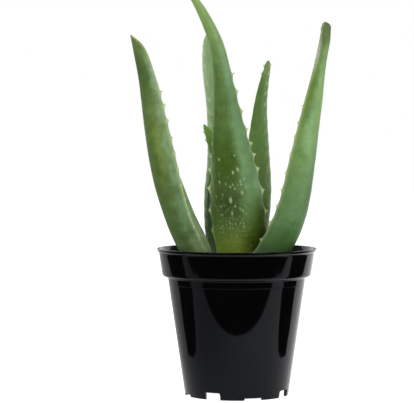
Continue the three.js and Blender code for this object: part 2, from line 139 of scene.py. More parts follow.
# Leaves, mm. A station is the middle between the leaf's edges (x, y, z, from the pot's
# axis), its width and the direction its underside looks to, in degrees. Belly and hollow:
# how far the underside swells and the upper face sinks, from foot to tip, as shares of the
# width. Tip_start: the share of the leaf's way where it starts to close. Teeth: their
# heights on both edges. Edge -1 is the left one, seen from outside, and edge 1 the right.
# Only where a leaf needs it: the teeth of edge -1 that stand at heights of their own, how
# slender the teeth are, by height, an edge with worn teeth and what is left of them, by
# height, an edge whose teeth bend towards the upper face, how large all the teeth are, and
# the smallest ones near the tip, and where the dried, wrinkled tip starts.
LEAVES = {
    "leaf_front": {
        "stations": [
            (2, -13, 116, 38, 268),
            (3.4, -18, 145, 47.3, 268),
            (0.1, -24, 180, 50, 268),
            (-4.1, -31, 220, 41.2, 267),
            (-9.2, -38, 265, 26.4, 266),
            (-14.4, -44, 305, 17, 264),
            (-20.8, -48, 335, 12.4, 262),
            (-34.8, -52, 365, 7.8, 262),
            (-50.4, -54, 387, 2, 262),
        ],
        "belly": (0.32, 0.36, 0.42),
        "hollow": (0.1, 0.08, 0.05),
        "tip_start": 0.95,
        "slender": {"heights": (238, 256), "power": (0.9, 1.5)},
        "worn_edge": {
            "side": -1, "heights": (158, 180, 198, 215, 240), "teeth": (0.5, 0.75, 1, 1, 0.3),
        },
        "teeth": (129, 141, 155.5, 173, 193.5, 214, 227.5, 238, 251.5, 268.5, 287, 303.5),
        "teeth_of_first_edge": (124, 160, 179, 200, 217.5, 229.5, 241, 253, 268.5, 287, 303.5),
    },
    "leaf_left": {
        "stations": [
            (-18, -13, 116, 34, 174),
            (-30, -16, 145, 42.7, 173),
            (-43.6, -18.5, 175, 45.7, 175.5),
            (-56.7, -22, 215, 45.8, 183),
            (-71.7, -26, 260, 33.6, 200.5),
            (-82.4, -30.5, 300, 21.3, 216.5),
            (-91, -33.5, 328, 14.5, 218),
            (-99.6, -36, 341.4, 2, 210),
        ],
        "belly": (0.6, 0.5, 0.42),
        "hollow": (0.24, 0.12, 0.04),
        "tip_start": 0.9,
        "tooth_scale": 1.3,
        "raised_teeth": {"side": 1, "by": 0.35},
        "slender": {"heights": (200,), "power": (0.95,)},
        "teeth": (
            129.5, 141.5, 152.5, 164.5, 176.5, 190, 203.5, 217.5, 231.5, 244.5, 260.5, 274.5, 287.5,
        ),
    },
    "leaf_right": {
        "stations": [
            (11, -21, 105, 38, 296),
            (36.4, -26, 145, 38, 306),
            (50.4, -30, 180, 37.4, 315),
            (57.8, -35, 225, 34.6, 327),
            (66.9, -41, 270, 24.2, 324),
            (75.1, -47, 315, 15.8, 333),
            (79.5, -51, 338, 13.3, 330),
            (80.5, -53, 352.5, 10, 332),
        ],
        "belly": (0.4, 0.44, 0.46),
        "hollow": (0.14, 0.08, 0.04),
        "tip_start": 0.95,
        "wrinkled_from": 0.9,
        "tooth_scale": 1.15,
        "slender": {"heights": (200,), "power": (1.5,)},
        "teeth": (129, 144, 162.5, 179.5, 196.5, 213, 229.5, 246, 259, 274.5),
    },
    "leaf_back_left": {
        "stations": [
            (-7, 19, 116, 32, 138),
            (-14.6, 23, 145, 38, 141),
            (-16.6, 28, 185, 39, 144),
            (-15.3, 33, 225, 33.9, 150),
            (-17.8, 39, 270, 28, 150),
            (-25, 46, 315, 20, 151),
            (-28, 50, 346, 9, 145),
        ],
        "belly": (0.32, 0.34, 0.4),
        "hollow": (0.12, 0.14, 0.1),
        "tip_start": 0.93,
        "teeth": (
            133, 147.5, 160, 170.5, 181.5, 195.5, 210.5, 226, 240.5, 255.5, 268, 281.5, 297, 313,
            326, 336,
        ),
    },
    "leaf_back_right": {
        "stations": [
            (12, 8, 116, 33, 40),
            (15.3, 13, 150, 39, 31),
            (19.4, 19, 190, 38, 29.6),
            (19.6, 25, 235, 31.4, 30.8),
            (22.6, 31, 280, 17.7, 28.4),
            (31.2, 37, 320, 6.4, 35),
        ],
        "belly": (0.32, 0.34, 0.4),
        "hollow": (0.12, 0.14, 0.1),
        "tip_start": 0.96,
        "smallest_tooth": 1.0,
        "tooth_scale": 1.2,
        "worn_edge": {"side": 1, "heights": (236, 250, 304, 309), "teeth": (1, 0.15, 0.15, 1)},
        "teeth": (130, 147, 162.5, 177.5, 195, 211, 225.5, 237, 248.5, 261, 276, 287, 297, 307, 315),
    },
    "leaf_inner": {
        "stations": [
            (0, -2, 116, 15, 125),
            (-2, -2, 150, 20, 125),
            (-6, -1, 185, 21, 125),
            (-13, 0, 215, 19, 126),
            (-21, 1, 238, 16, 128),
            (-31.5, 2, 258, 6, 130),
        ],
        "belly": (0.32, 0.3, 0.34),
        "hollow": (0.08, 0.08, 0.04),
        "tip_start": 0.85,
        "smallest_tooth": 0.6,
        "teeth": (134, 147, 159, 172.5, 186.5, 200.5, 213, 224.5, 235.5, 245, 252),
    },
}

# Colours of each leaf, by height in mm: along the olive side of the underside, along the side with the
# bloom of wax and a painted sheen from the softboxes, and on the upper face. The bloom and its painted
# sheen come up between two shares of the way across, from -1 at one edge to 1 at the other. Line is how
# plainly the pale margin shows between the teeth, and spots how many places of the net have a small spot.
SKINS = {
    "leaf_front": {
        # The olive stop at 146 mm is painted light, lifting the shade at the pot's rim.
        "olive": {
            146: "#708638", 164: "#506a32", 190: "#42562a", 240: "#456026", 310: "#5b7640", 375: "#7a9454",
        },
        "bloom_and_sheen": {
            150: "#5a7226", 178: "#5a7848", 195: "#648658", 240: "#6a8a5c", 310: "#6f9068", 375: "#86a160",
        },
        "upper": {150: "#44602f", 300: "#5c7c44"},
        "bloom_and_sheen_between": (0.0, 0.6),
        "line": 0.3,
        "spots": 0.85,
    },
    "leaf_left": {
        # The lowest stops of both sides of the underside, at 143 mm, are painted light, lifting the shade
        # at the pot's rim.
        "olive": {
            143: "#7c9a62", 151: "#4e6a36", 164: "#45592c", 200: "#465c28", 250: "#50682e", 300: "#485e30",
            338: "#5c6e40",
        },
        "bloom_and_sheen": {
            143: "#88a670", 151: "#5e7c4c", 164: "#58744a", 200: "#66855e", 250: "#76926c", 300: "#7f9b74",
            335: "#6a7e50",
        },
        # Painted light: the upper face is far lighter low down, where the neighbouring leaves shade it.
        "upper": {148: "#d2ecb8", 195: "#a8ca8c", 235: "#7b985e", 330: "#6c864c"},
        "bloom_and_sheen_between": (0.7, 1.0),
        "line": 0.3,
        "spots": 0.1,
    },
    "leaf_right": {
        "olive": {150: "#506e40", 200: "#587848", 250: "#69884e", 300: "#627f42", 345: "#56683a"},
        "bloom_and_sheen": {150: "#547246", 200: "#56744a", 250: "#6e8e5e", 300: "#7e9e68", 345: "#658044"},
        "upper": {150: "#3f5a30", 300: "#5f7a48"},
        "bloom_and_sheen_between": (-0.9, -0.4),
        "line": 0.3,
        "spots": 0.0,
    },
    "leaf_back_left": {
        "olive": {150: "#3e5432", 195: "#566e48", 250: "#748f5c", 330: "#88a070"},
        "bloom_and_sheen": {150: "#3e5432", 195: "#5c764e", 250: "#84a06c", 330: "#98b082"},
        # Painted light: the upper face is lightened low down, in the shade of the hollow.
        "upper": {150: "#406c1a", 185: "#446c22", 210: "#4f7434", 250: "#809f68", 330: "#809f6c"},
        "bloom_and_sheen_between": (-0.5, 0.5),
        "line": 0.1,
        "spots": 0.2,
    },
    "leaf_back_right": {
        "olive": {150: "#587634", 240: "#648448", 315: "#6b8a4c"},
        "bloom_and_sheen": {150: "#587634", 240: "#648448", 315: "#6b8a4c"},
        # Painted light: the upper face is lightened low down, in the shade of the hollow.
        "upper": {
            150: "#86a634", 180: "#8aac54", 200: "#a2c278", 240: "#82a45c", 290: "#668646", 318: "#829c5e",
        },
        "bloom_and_sheen_between": (-0.5, 0.5),
        "line": 0.06,
        "spots": 0.2,
    },
    "leaf_inner": {
        "olive": {150: "#3a5626", 215: "#44662a", 255: "#7a9c48"},
        "bloom_and_sheen": {150: "#3a5626", 215: "#64883a", 255: "#84a454"},
        "upper": {150: "#3a5626", 215: "#3a5620", 255: "#7a9c48"},
        "bloom_and_sheen_between": (-0.5, 0.5),
        "line": 0.15,
        "spots": 0.1,
    },
}
# The colours change between these heights, mm.
RAMP_FOOT = 120
RAMP_TIP = 390

# Soft patches on the undersides, some of the leaf's own colour, some painted shadow where one leaf shades
# another, and some painted light that lifts the shade by the pot's rim or lights an edge: (share of the
# way across, height in mm, half width as a share, half length in mm, colour, how plainly it shows).
PATCHES_AND_PAINTED_LIGHT = {
    "leaf_front": [
        (-0.2, 221, 0.5, 22, "#364e08", 0.85),
        (-0.3, 181, 0.55, 15, "#2e4218", 0.8),
        # Painted highlight along the left edge.
        (-0.98, 205, 0.16, 26, "#7f9668", 0.7),
        (0.95, 198, 0.22, 16, "#8aab7c", 0.7),
        (-0.45, 292, 0.35, 30, "#48642c", 0.7),
        (0.0, 278, 1.3, 13, "#4c6634", 0.4),
        # Yellow olive foot, lightened as painted light against the shade at the pot's rim.
        (-0.3, 142, 0.9, 9, "#8aa03c", 0.7),
        # Painted shadow: these two dark patches at the right foot stand for the shade of the right leaf.
        (0.97, 162, 0.5, 34, "#334c00", 1.0),
        (0.52, 146, 0.46, 16, "#364600", 0.9),
    ],
    "leaf_left": [
        (0.76, 240, 0.2, 50, "#677a3a", 0.9),
        (0.3, 312, 0.5, 15, "#3c5024", 0.7),
        (0.7, 336, 0.8, 12, "#5c6c30", 0.7),
        (0.2, 168, 0.5, 14, "#3f5a2c", 0.5),
        # Painted light, lifting the shade at the pot's rim.
        (-0.4, 142, 1.0, 13, "#88a472", 0.2),
        (0.7, 273, 0.6, 11, "#5c7245", 0.5),
        (0.76, 197, 0.22, 12, "#465a2a", 0.6),
        (0.7, 150, 0.25, 12, "#40552c", 0.5),
        # Painted light, lifting the shade at the pot's rim.
        (0.97, 143, 0.12, 9, "#8fa878", 0.6),
    ],
    "leaf_right": [
        (-0.85, 280, 0.3, 34, "#55702a", 0.8),
        (-0.35, 250, 0.4, 60, "#84a468", 0.5),
        (-1.0, 321, 0.14, 15, "#9aa088", 1.0),
        (-0.1, 268, 0.3, 25, "#7fa052", 0.6),
        (-0.85, 222, 0.25, 35, "#627e42", 0.5),
        (-0.55, 258, 0.22, 26, "#7c9e74", 0.55),
        (-0.5, 338, 0.6, 7, "#586440", 0.6),
        (-0.4, 350, 3.0, 13, "#5a6a42", 1.0),
        (-0.3, 152, 0.6, 14, "#305a1e", 0.7),
    ],
}

# Small spots grow faint between these heights, mm.
SMALL_SPOTS_FADE = (166, 192)

# Pale spots low on the front leaf's underside: from the middle line, height and half
# length, mm, and how faint, from 0 for the plainest to 1.
FRONT_SPOTS = [
    (-11.9, 225, 1.75, 0.3), (-6, 229.5, 0.9, 0.9), (3, 229, 1.1, 0.5), (4.7, 216, 2.1, 0),
    (0, 213, 1.9, 0), (-13, 211.5, 1.2, 0.8), (-13, 208.7, 1.2, 1), (-13.5, 204, 1.6, 0.4),
    (-5, 209, 0.9, 0.9), (-7.7, 202.3, 1.3, 0.6), (-3.8, 199.5, 1.4, 0.3), (-1.2, 201.5, 1.5, 0.6),
    (0.2, 198, 1.2, 0.4), (2, 204, 0.9, 0.9), (3.5, 201.5, 1, 0.6), (6, 205, 1.5, 0.2),
    (6.3, 202, 1.5, 0.2), (9.4, 207, 1.6, 0), (15, 206, 1.5, 0.3), (11, 199.5, 1.5, 0),
    (6.6, 194, 2.2, 0), (2.7, 194, 0.9, 1), (0.7, 191.6, 0.8, 1), (-11.8, 192, 1.6, 0.7),
    (-18, 190.5, 1.2, 0.6), (-4.8, 187, 2.9, 0), (-13, 188.3, 0.7, 0.8), (-13.7, 198.3, 0.7, 0.9),
    (-14.3, 181, 1.3, 0.5), (-11.9, 182.5, 1, 0.8), (-18.4, 181, 1, 0.9), (-1.1, 181.6, 1.3, 0.2),
    (3.2, 179.5, 1.3, 0.5), (5.3, 177.6, 1.4, 0.1), (8.5, 181, 1.1, 0.6), (9.6, 185.3, 0.9, 0.9),
    (8.3, 174.6, 1, 0.6), (-4.6, 174.8, 2.1, 0.4), (-4.7, 171, 1.2, 0.9), (-13.9, 173, 1.4, 0.7),
    (-18.4, 174, 1.1, 0.9), (-8, 167, 1.4, 0.7), (-2.5, 165, 1.2, 0.6), (2.1, 165.7, 1.3, 0.6),
    (5.1, 162.5, 1.2, 0.3), (-8, 162, 0.9, 0.7), (-1.2, 160.2, 1, 0.7), (5, 158, 1, 0.7),
    (-7.7, 154.4, 1, 0.7), (-2.6, 153, 1.4, 0.5), (-14, 149.6, 0.9, 0.7),
]

# The studio's cards lie just over the floor and show only in reflections, in the pot's gloss: they are
# painted reflections. The black ones paint dark reflections and stop no light, and the bright one under
# them paints the floor's reflection in the floor's place and is dimmer on the left. Outlines and places in
# mm from the pot's axis.
FRONT_CARD = [
    (-340, -205), (340, -205), (375, -167), (500, -105), (700, 30), (1500, 400), (1500, -1700),
    (-1500, -1700), (-1500, 400), (-700, 30), (-500, -105), (-375, -167),
]
SIDE_CARD = [
    (162, -20), (176, -40), (205, -50), (250, -62), (310, -72), (366, -84), (437, -65), (520, -40),
    (700, 60), (1300, 400), (1300, 900), (603, 423), (487, 230), (428, 170), (357, 132), (285, 97),
    (229, 58), (178, 34),
]
CARD_HEIGHT = 1
BRIGHT_CARD = [(-1500, -1700), (1500, -1700), (1500, 1500), (-1500, 1500)]
BRIGHT_CARD_HEIGHT = 0.5
BRIGHT_CARD_GLOW = (0.65, 1.5)
DIM_AT, BRIGHT_AT = -200, 150

# Softboxes, metres: place, side, and the setting that holds its power.
SOFTBOXES = {
    "softbox_right": ((0.9, -1.3, 1.2), 1.0, "key_power"),
    "softbox_left": ((-0.7, -1.5, 0.8), 1.0, "fill_power"),
    "softbox_top": ((0, 0.1, 1.8), 1.6, "top_power"),
    "softbox_back_right": ((0.8, 1.2, 0.8), 1.2, "back_power"),
    "softbox_back_left": ((-0.8, 1.2, 0.8), 1.2, "back_power"),
}
# The height that they look at, and the floor's side, metres.
LIGHTS_AIM_AT = 0.2
FLOOR_SIDE = 12

# Camera, mm: what a pixel of the photograph covers at the pot's axis, the picture's width
# in pixels, how far left of the axis the camera stands, its height and where it aims.
PIXEL = 0.954
PICTURE_WIDTH = 414
CAMERA_LEFT = 28.4
EYE_HEIGHT = 253
AIM_HEIGHT = 184.4
SENSOR_WIDTH = 36


def linear(hex_colour):
    """The linear RGBA of an sRGB hex colour."""
    shares = [int(hex_colour[place:place + 2], 16) / 255 for place in (1, 3, 5)]
    straight = [s / 12.92 if s <= 0.04045 else ((s + 0.055) / 1.055) ** 2.4 for s in shares]
    return (*straight, 1.0)


# ---- settings ----


class PotSettings(PropertyGroup):
    """Sizes and finish of the nursery pot."""

    sides: IntProperty(
        name="Sides", description="Faces round the pot", default=192, min=48, max=360,
    )
    bead_height: FloatProperty(
        name="Bead height", description="Height of the fine moulded bead under the collar",
        default=105.7 * MM, subtype="DISTANCE", unit="LENGTH",
    )
    bead_relief: FloatProperty(
        name="Bead relief", description="How far the fine bead stands proud of the wall",
        default=0.07 * MM, subtype="DISTANCE", unit="LENGTH",
    )
    colour: FloatVectorProperty(
        name="Plastic", description="Colour of the moulded plastic",
        default=linear("#030304"), size=4, subtype="COLOR", min=0, max=1,
    )
    roughness: FloatProperty(
        name="Roughness", description="Roughness of the moulded surface",
        default=0.05, subtype="FACTOR", min=0, max=1,
    )


class MixSettings(PropertyGroup):
    """Colours and grain of the potting mix and the crown in it."""

    peat: FloatVectorProperty(
        name="Peat", description="Colour of the moist peat",
        default=linear("#2e2219"), size=4, subtype="COLOR", min=0, max=1,
    )
    bark: FloatVectorProperty(
        name="Bark", description="Colour of the bark bits",
        default=linear("#6a4a30"), size=4, subtype="COLOR", min=0, max=1,
    )
    perlite: FloatVectorProperty(
        name="Perlite", description="Colour of the perlite grains",
        default=linear("#d9d6cc"), size=4, subtype="COLOR", min=0, max=1,
    )
    bark_count: IntProperty(
        name="Bark bits", description="How many bark bits lie on the mix", default=420, min=0,
    )
    perlite_count: IntProperty(
        name="Perlite grains", description="How many perlite grains lie on the mix",
        default=90, min=0,
    )
    lumpiness: FloatProperty(
        name="Lumpiness", description="Height of the mix's lumps",
        default=1.1 * MM, subtype="DISTANCE", unit="LENGTH",
    )


class LeafSettings(PropertyGroup):
    """Sizes and colours that all the leaves share."""

    ring_step: FloatProperty(
        name="Ring step", description="Distance between two rings of a leaf's mesh",
        default=0.5 * MM, subtype="DISTANCE", unit="LENGTH",
    )
    margin: FloatVectorProperty(
        name="Margin", description="Colour of the horny margin and its teeth",
        default=linear("#b9c692"), size=4, subtype="COLOR", min=0, max=1,
    )
    spot: FloatVectorProperty(
        name="Spot", description="Colour of the pale spots",
        default=linear("#a5b984"), size=4, subtype="COLOR", min=0, max=1,
    )
    roughness: FloatProperty(
        name="Roughness", description="Roughness of the waxy skin",
        default=0.42, subtype="FACTOR", min=0, max=1,
    )


class StageSettings(PropertyGroup):
    """The studio: floor, light and camera."""

    floor: FloatVectorProperty(
        name="Floor", description="Colour of the floor",
        default=linear("#c8c8c8"), size=4, subtype="COLOR", min=0, max=1,
    )
    floor_glow: FloatProperty(
        name="Floor glow", description="How much the floor shines by itself, as a light table does",
        default=0.95, min=0,
    )
    ambient: FloatProperty(
        name="Ambient", description="Strength of the light from all around", default=0.33, min=0,
    )
    key_power: FloatProperty(
        name="Key light", description="Power of the softbox at the right",
        default=8, unit="POWER", min=0,
    )
    fill_power: FloatProperty(
        name="Fill light", description="Power of the softbox at the left",
        default=6.5, unit="POWER", min=0,
    )
    top_power: FloatProperty(
        name="Top light", description="Power of the softbox overhead",
        default=7, unit="POWER", min=0,
    )
    back_power: FloatProperty(
        name="Back lights", description="Power of each of the two softboxes behind",
        default=8, unit="POWER", min=0,
    )
    camera_distance: FloatProperty(
        name="Camera distance", description="Distance from the pot's axis to the camera",
        default=1.9, subtype="DISTANCE", unit="LENGTH",
    )


# ---- modelling by operator ----


def start(add_primitive, name, **place):
    """Adds a primitive with nothing else selected, and names it."""
    bpy.ops.object.select_all(action="DESELECT")
    add_primitive(**place)
    piece = bpy.context.active_object
    piece.name = name
    piece.data.name = name
    return piece


def select_only(piece):
    """Selects one piece and nothing else, and makes it the active one."""
    bpy.ops.object.select_all(action="DESELECT")
    piece.select_set(True)
    bpy.context.view_layer.objects.active = piece


def settle(piece):
    """Puts a piece's place into its mesh and its object at the origin."""
    select_only(piece)
    bpy.ops.object.transform_apply(location=True, rotation=True, scale=True)


def smooth(piece, degrees):
    """Shades a piece smooth, but for edges that bend by more than that."""
    select_only(piece)
    bpy.ops.object.shade_smooth_by_angle(angle=math.radians(degrees))


def join(pieces):
    """Joins pieces into the first of them."""
    select_only(pieces[0])
    for piece in pieces[1:]:
        piece.select_set(True)
    bpy.ops.object.join()
    return pieces[0]


def drop(piece):
    """Removes a piece with its mesh."""
    data = piece.data
    bpy.data.objects.remove(piece)
    bpy.data.meshes.remove(data)


def select_open_edges():
    """In edit mode, selects the edges round a mesh's openings."""
    bpy.ops.mesh.select_all(action="DESELECT")
    bpy.ops.mesh.select_non_manifold(use_wire=False, use_multi_face=False, use_verts=False)


def end_edit():
    """Turns all faces outwards and leaves edit mode."""
    bpy.ops.mesh.select_all(action="SELECT")
    bpy.ops.mesh.normals_make_consistent(inside=False)
    bpy.ops.object.mode_set(mode="OBJECT")


def rounded(corners, steps=4):
    """An outline through (radius, height, bend) corners, each bend that long on both sides."""
    outline = []
    for index, (radius, height, bend) in enumerate(corners):
        here = Vector((radius, height))
        if bend == 0 or index in (0, len(corners) - 1):
            outline.append(here)
            continue
        back = Vector(corners[index - 1][:2]) - here
        ahead = Vector(corners[index + 1][:2]) - here
        enter = here + back.normalized() * bend
        leave = here + ahead.normalized() * bend
        if back.length > 2 * (bend + HOLDING_RING):
            outline.append(enter + back.normalized() * HOLDING_RING)
        for step in range(steps + 1):
            share = step / steps
            one = enter.lerp(here, share)
            two = here.lerp(leave, share)
            outline.append(one.lerp(two, share))
        if ahead.length > 2 * (bend + HOLDING_RING):
            outline.append(leave + ahead.normalized() * HOLDING_RING)
    return outline


def turned(name, outline, sides, closed):
    """A turned piece round the pot's axis: a circle, extruded and resized from ring to ring."""
    radius, height = outline[0] * MM
    piece = start(
        bpy.ops.mesh.primitive_circle_add, name,
        vertices=sides, radius=radius, location=(AXIS.x, AXIS.y, height),
    )
    bpy.ops.object.mode_set(mode="EDIT")
    bpy.ops.mesh.select_all(action="SELECT")
    for point in outline[1:]:
        next_radius, next_height = point * MM
        rise = (0, 0, next_height - height)
        bpy.ops.mesh.extrude_region_move(TRANSFORM_OT_translate={"value": rise})
        share = next_radius / radius
        centre = (AXIS.x, AXIS.y, next_height)
        bpy.ops.transform.resize(value=(share, share, 1), center_override=centre)
        radius, height = next_radius, next_height
    if closed:
        select_open_edges()
        bpy.ops.mesh.bridge_edge_loops()
    bpy.ops.mesh.select_all(action="SELECT")
    bpy.ops.mesh.remove_doubles(threshold=WELD)
    end_edit()
    settle(piece)
    return piece


def finish_piece(piece, slot, material, *nodes):
    """Gives a piece its material, hangs it under the root body, and hides the CAD parts it stands in for.
    """
    piece.data.materials.clear()
    piece.data.materials.append(material)
    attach(piece, "root")
    if nodes:
        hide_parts(*nodes)


# ---- materials ----


# A Mix node that mixes colours. Its share is input 0, its colours are inputs 6 and 7.
OF_COLOURS = {"out": 2, "data_type": "RGBA"}
# A range whose two ends are soft.
SOFT = {"interpolation_type": "SMOOTHSTEP"}
# What a span holds, in its order.
SPAN = ("From Min", "From Max", "To Min", "To Max")


def add(tree, kind, inputs=None, out=0, stops=(), span=(), **settings):
    """Adds a node with its settings and links, and returns one of its outputs. Stops are a
    colour ramp's, and span is what a range is mapped from and to."""
    node = tree.nodes.new("ShaderNode" + kind)
    for name, value in settings.items():
        setattr(node, name, value)
    for index, (place, colour) in enumerate(stops):
        ramp = node.color_ramp.elements
        stop = ramp[index] if index < 2 else ramp.new(place)
        stop.position = place
        stop.color = colour
    for socket, value in {**(inputs or {}), **dict(zip(SPAN, span))}.items():
        if isinstance(value, bpy.types.NodeSocket):
            tree.links.new(value, node.inputs[socket])
        else:
            node.inputs[socket].default_value = value
    return node.outputs[out] if node.outputs else node


def new_tree(name):
    """A new material and its node tree, with nothing in it yet."""
    material = bpy.data.materials.new(name)
    material.use_nodes = True
    material.node_tree.nodes.clear()
    return material, material.node_tree


def moulded_polypropylene(settings):
    """Injection-moulded polypropylene, black: a near mirror with faint scuffs and dust."""
    patch_size = 25 * MM
    speck_size = 0.6 * MM
    scuff_length = 100 / 3 * MM
    scuff_width = 1 / 3 * MM
    material, tree = new_tree("moulded_polypropylene_black")
    place = add(tree, "TexCoord", out="Object")
    # Specks of dust lie in patches.
    patches = add(tree, "TexNoise", {"Vector": place, "Scale": 1 / patch_size, "Detail": 3.0})
    specks = add(tree, "TexNoise", {"Vector": place, "Scale": 1 / speck_size, "Detail": 2.0})
    dusty = add(tree, "Math", {0: patches, 1: specks}, operation="MULTIPLY")
    dust = add(tree, "MapRange", {"Value": dusty}, span=(0.3, 0.6, 0, 0.006))
    colour = add(
        tree, "Mix", {0: dust, 6: tuple(settings.colour), 7: linear("#8a8a88")}, **OF_COLOURS,
    )
    # Fine scuffs run round the pot.
    scales = (1 / scuff_length, 1 / scuff_length, 1 / scuff_width)
    along = add(tree, "VectorMath", {0: place, 1: scales}, operation="MULTIPLY")
    scuffs = add(tree, "TexNoise", {"Vector": along, "Scale": 1.0, "Detail": 2.0})
    rough = add(
        tree, "MapRange", {"Value": patches},
        span=(0.3, 0.7, settings.roughness * 0.8, settings.roughness * 1.4),
    )
    bump = add(tree, "Bump", {"Height": scuffs, "Strength": 0.03, "Distance": 0.1 * MM})
    shader = add(
        tree, "BsdfPrincipled",
        {
            "Base Color": colour, "Roughness": rough, "Normal": bump, "IOR": 1.49,
            "Specular IOR Level": 0.16, "Specular Tint": linear("#eef4ff"),
        },
    )
    add(tree, "OutputMaterial", {"Surface": shader})
    return material


def moist_peat(settings):
    """Moist peat with fibres: matt, dark, in crumbs of a few millimetres."""
    crumb_size = 2.2 * MM
    fibre_size = 1.2 * MM
    damp_size = 18 * MM
    material, tree = new_tree("moist_peat_sieved")
    place = add(tree, "TexCoord", out="Object")
    crumbs = add(tree, "TexVoronoi", {"Vector": place, "Scale": 1 / crumb_size}, "Distance")
    grain = add(tree, "TexNoise", {"Vector": place, "Scale": 1 / fibre_size, "Detail": 6.0})
    damp = add(tree, "TexNoise", {"Vector": place, "Scale": 1 / damp_size, "Detail": 2.0})
    share = add(tree, "MapRange", {"Value": grain}, span=(0.35, 0.75))
    colour = add(
        tree, "Mix", {0: share, 6: tuple(settings.peat), 7: tuple(settings.bark)}, **OF_COLOURS,
    )
    dark = add(tree, "MapRange", {"Value": damp}, span=(0.35, 0.65, 0.55))
    shaded = add(
        tree, "Mix", {0: 1.0, 6: colour, 7: dark}, **OF_COLOURS, blend_type="MULTIPLY",
    )
    relief = add(tree, "Math", {0: crumbs, 1: grain}, operation="ADD")
    bump = add(tree, "Bump", {"Height": relief, "Strength": 0.8, "Distance": 0.8 * MM})
    shader = add(tree, "BsdfPrincipled", {"Base Color": shaded, "Roughness": 0.92, "Normal": bump})
    add(tree, "OutputMaterial", {"Surface": shader})
    return material


def speckled(name, first, second, size, roughness):
    """A matt natural material in two mingled colours, its grain that many metres wide."""
    material, tree = new_tree(name)
    place = add(tree, "TexCoord", out="Object")
    grain = add(tree, "TexNoise", {"Vector": place, "Scale": 1 / size, "Detail": 5.0})
    share = add(tree, "MapRange", {"Value": grain}, span=(0.35, 0.65))
    colour = add(tree, "Mix", {0: share, 6: first, 7: second}, **OF_COLOURS)
    bump = add(tree, "Bump", {"Height": grain, "Strength": 0.6, "Distance": size / 3})
    shader = add(
        tree, "BsdfPrincipled", {"Base Color": colour, "Roughness": roughness, "Normal": bump},
    )
    add(tree, "OutputMaterial", {"Surface": shader})
    return material


def along_leaf(tree, height, colours):
    """A colour that changes with the height in mm."""
    reach = RAMP_TIP - RAMP_FOOT
    stops = [((level - RAMP_FOOT) / reach, linear(colour)) for level, colour in colours.items()]
    place = add(tree, "MapRange", {"Value": height}, span=(RAMP_FOOT, RAMP_TIP))
    return add(tree, "ValToRGB", {"Fac": place}, stops=stops)


def reach_from(tree, places, middle, size, faint=0):
    """How far places lie from a spot's middle: 1 at its border, and 0 in its middle, or
    more where it is faint."""
    scales = (1 / size[0], 1 / size[1], 0)
    shift = (-middle[0] / size[0], -middle[1] / size[1], faint)
    scaled = add(tree, "VectorMath", {0: places, 1: scales, 2: shift}, operation="MULTIPLY_ADD")
    return add(tree, "VectorMath", {0: scaled}, "Value", operation="LENGTH")


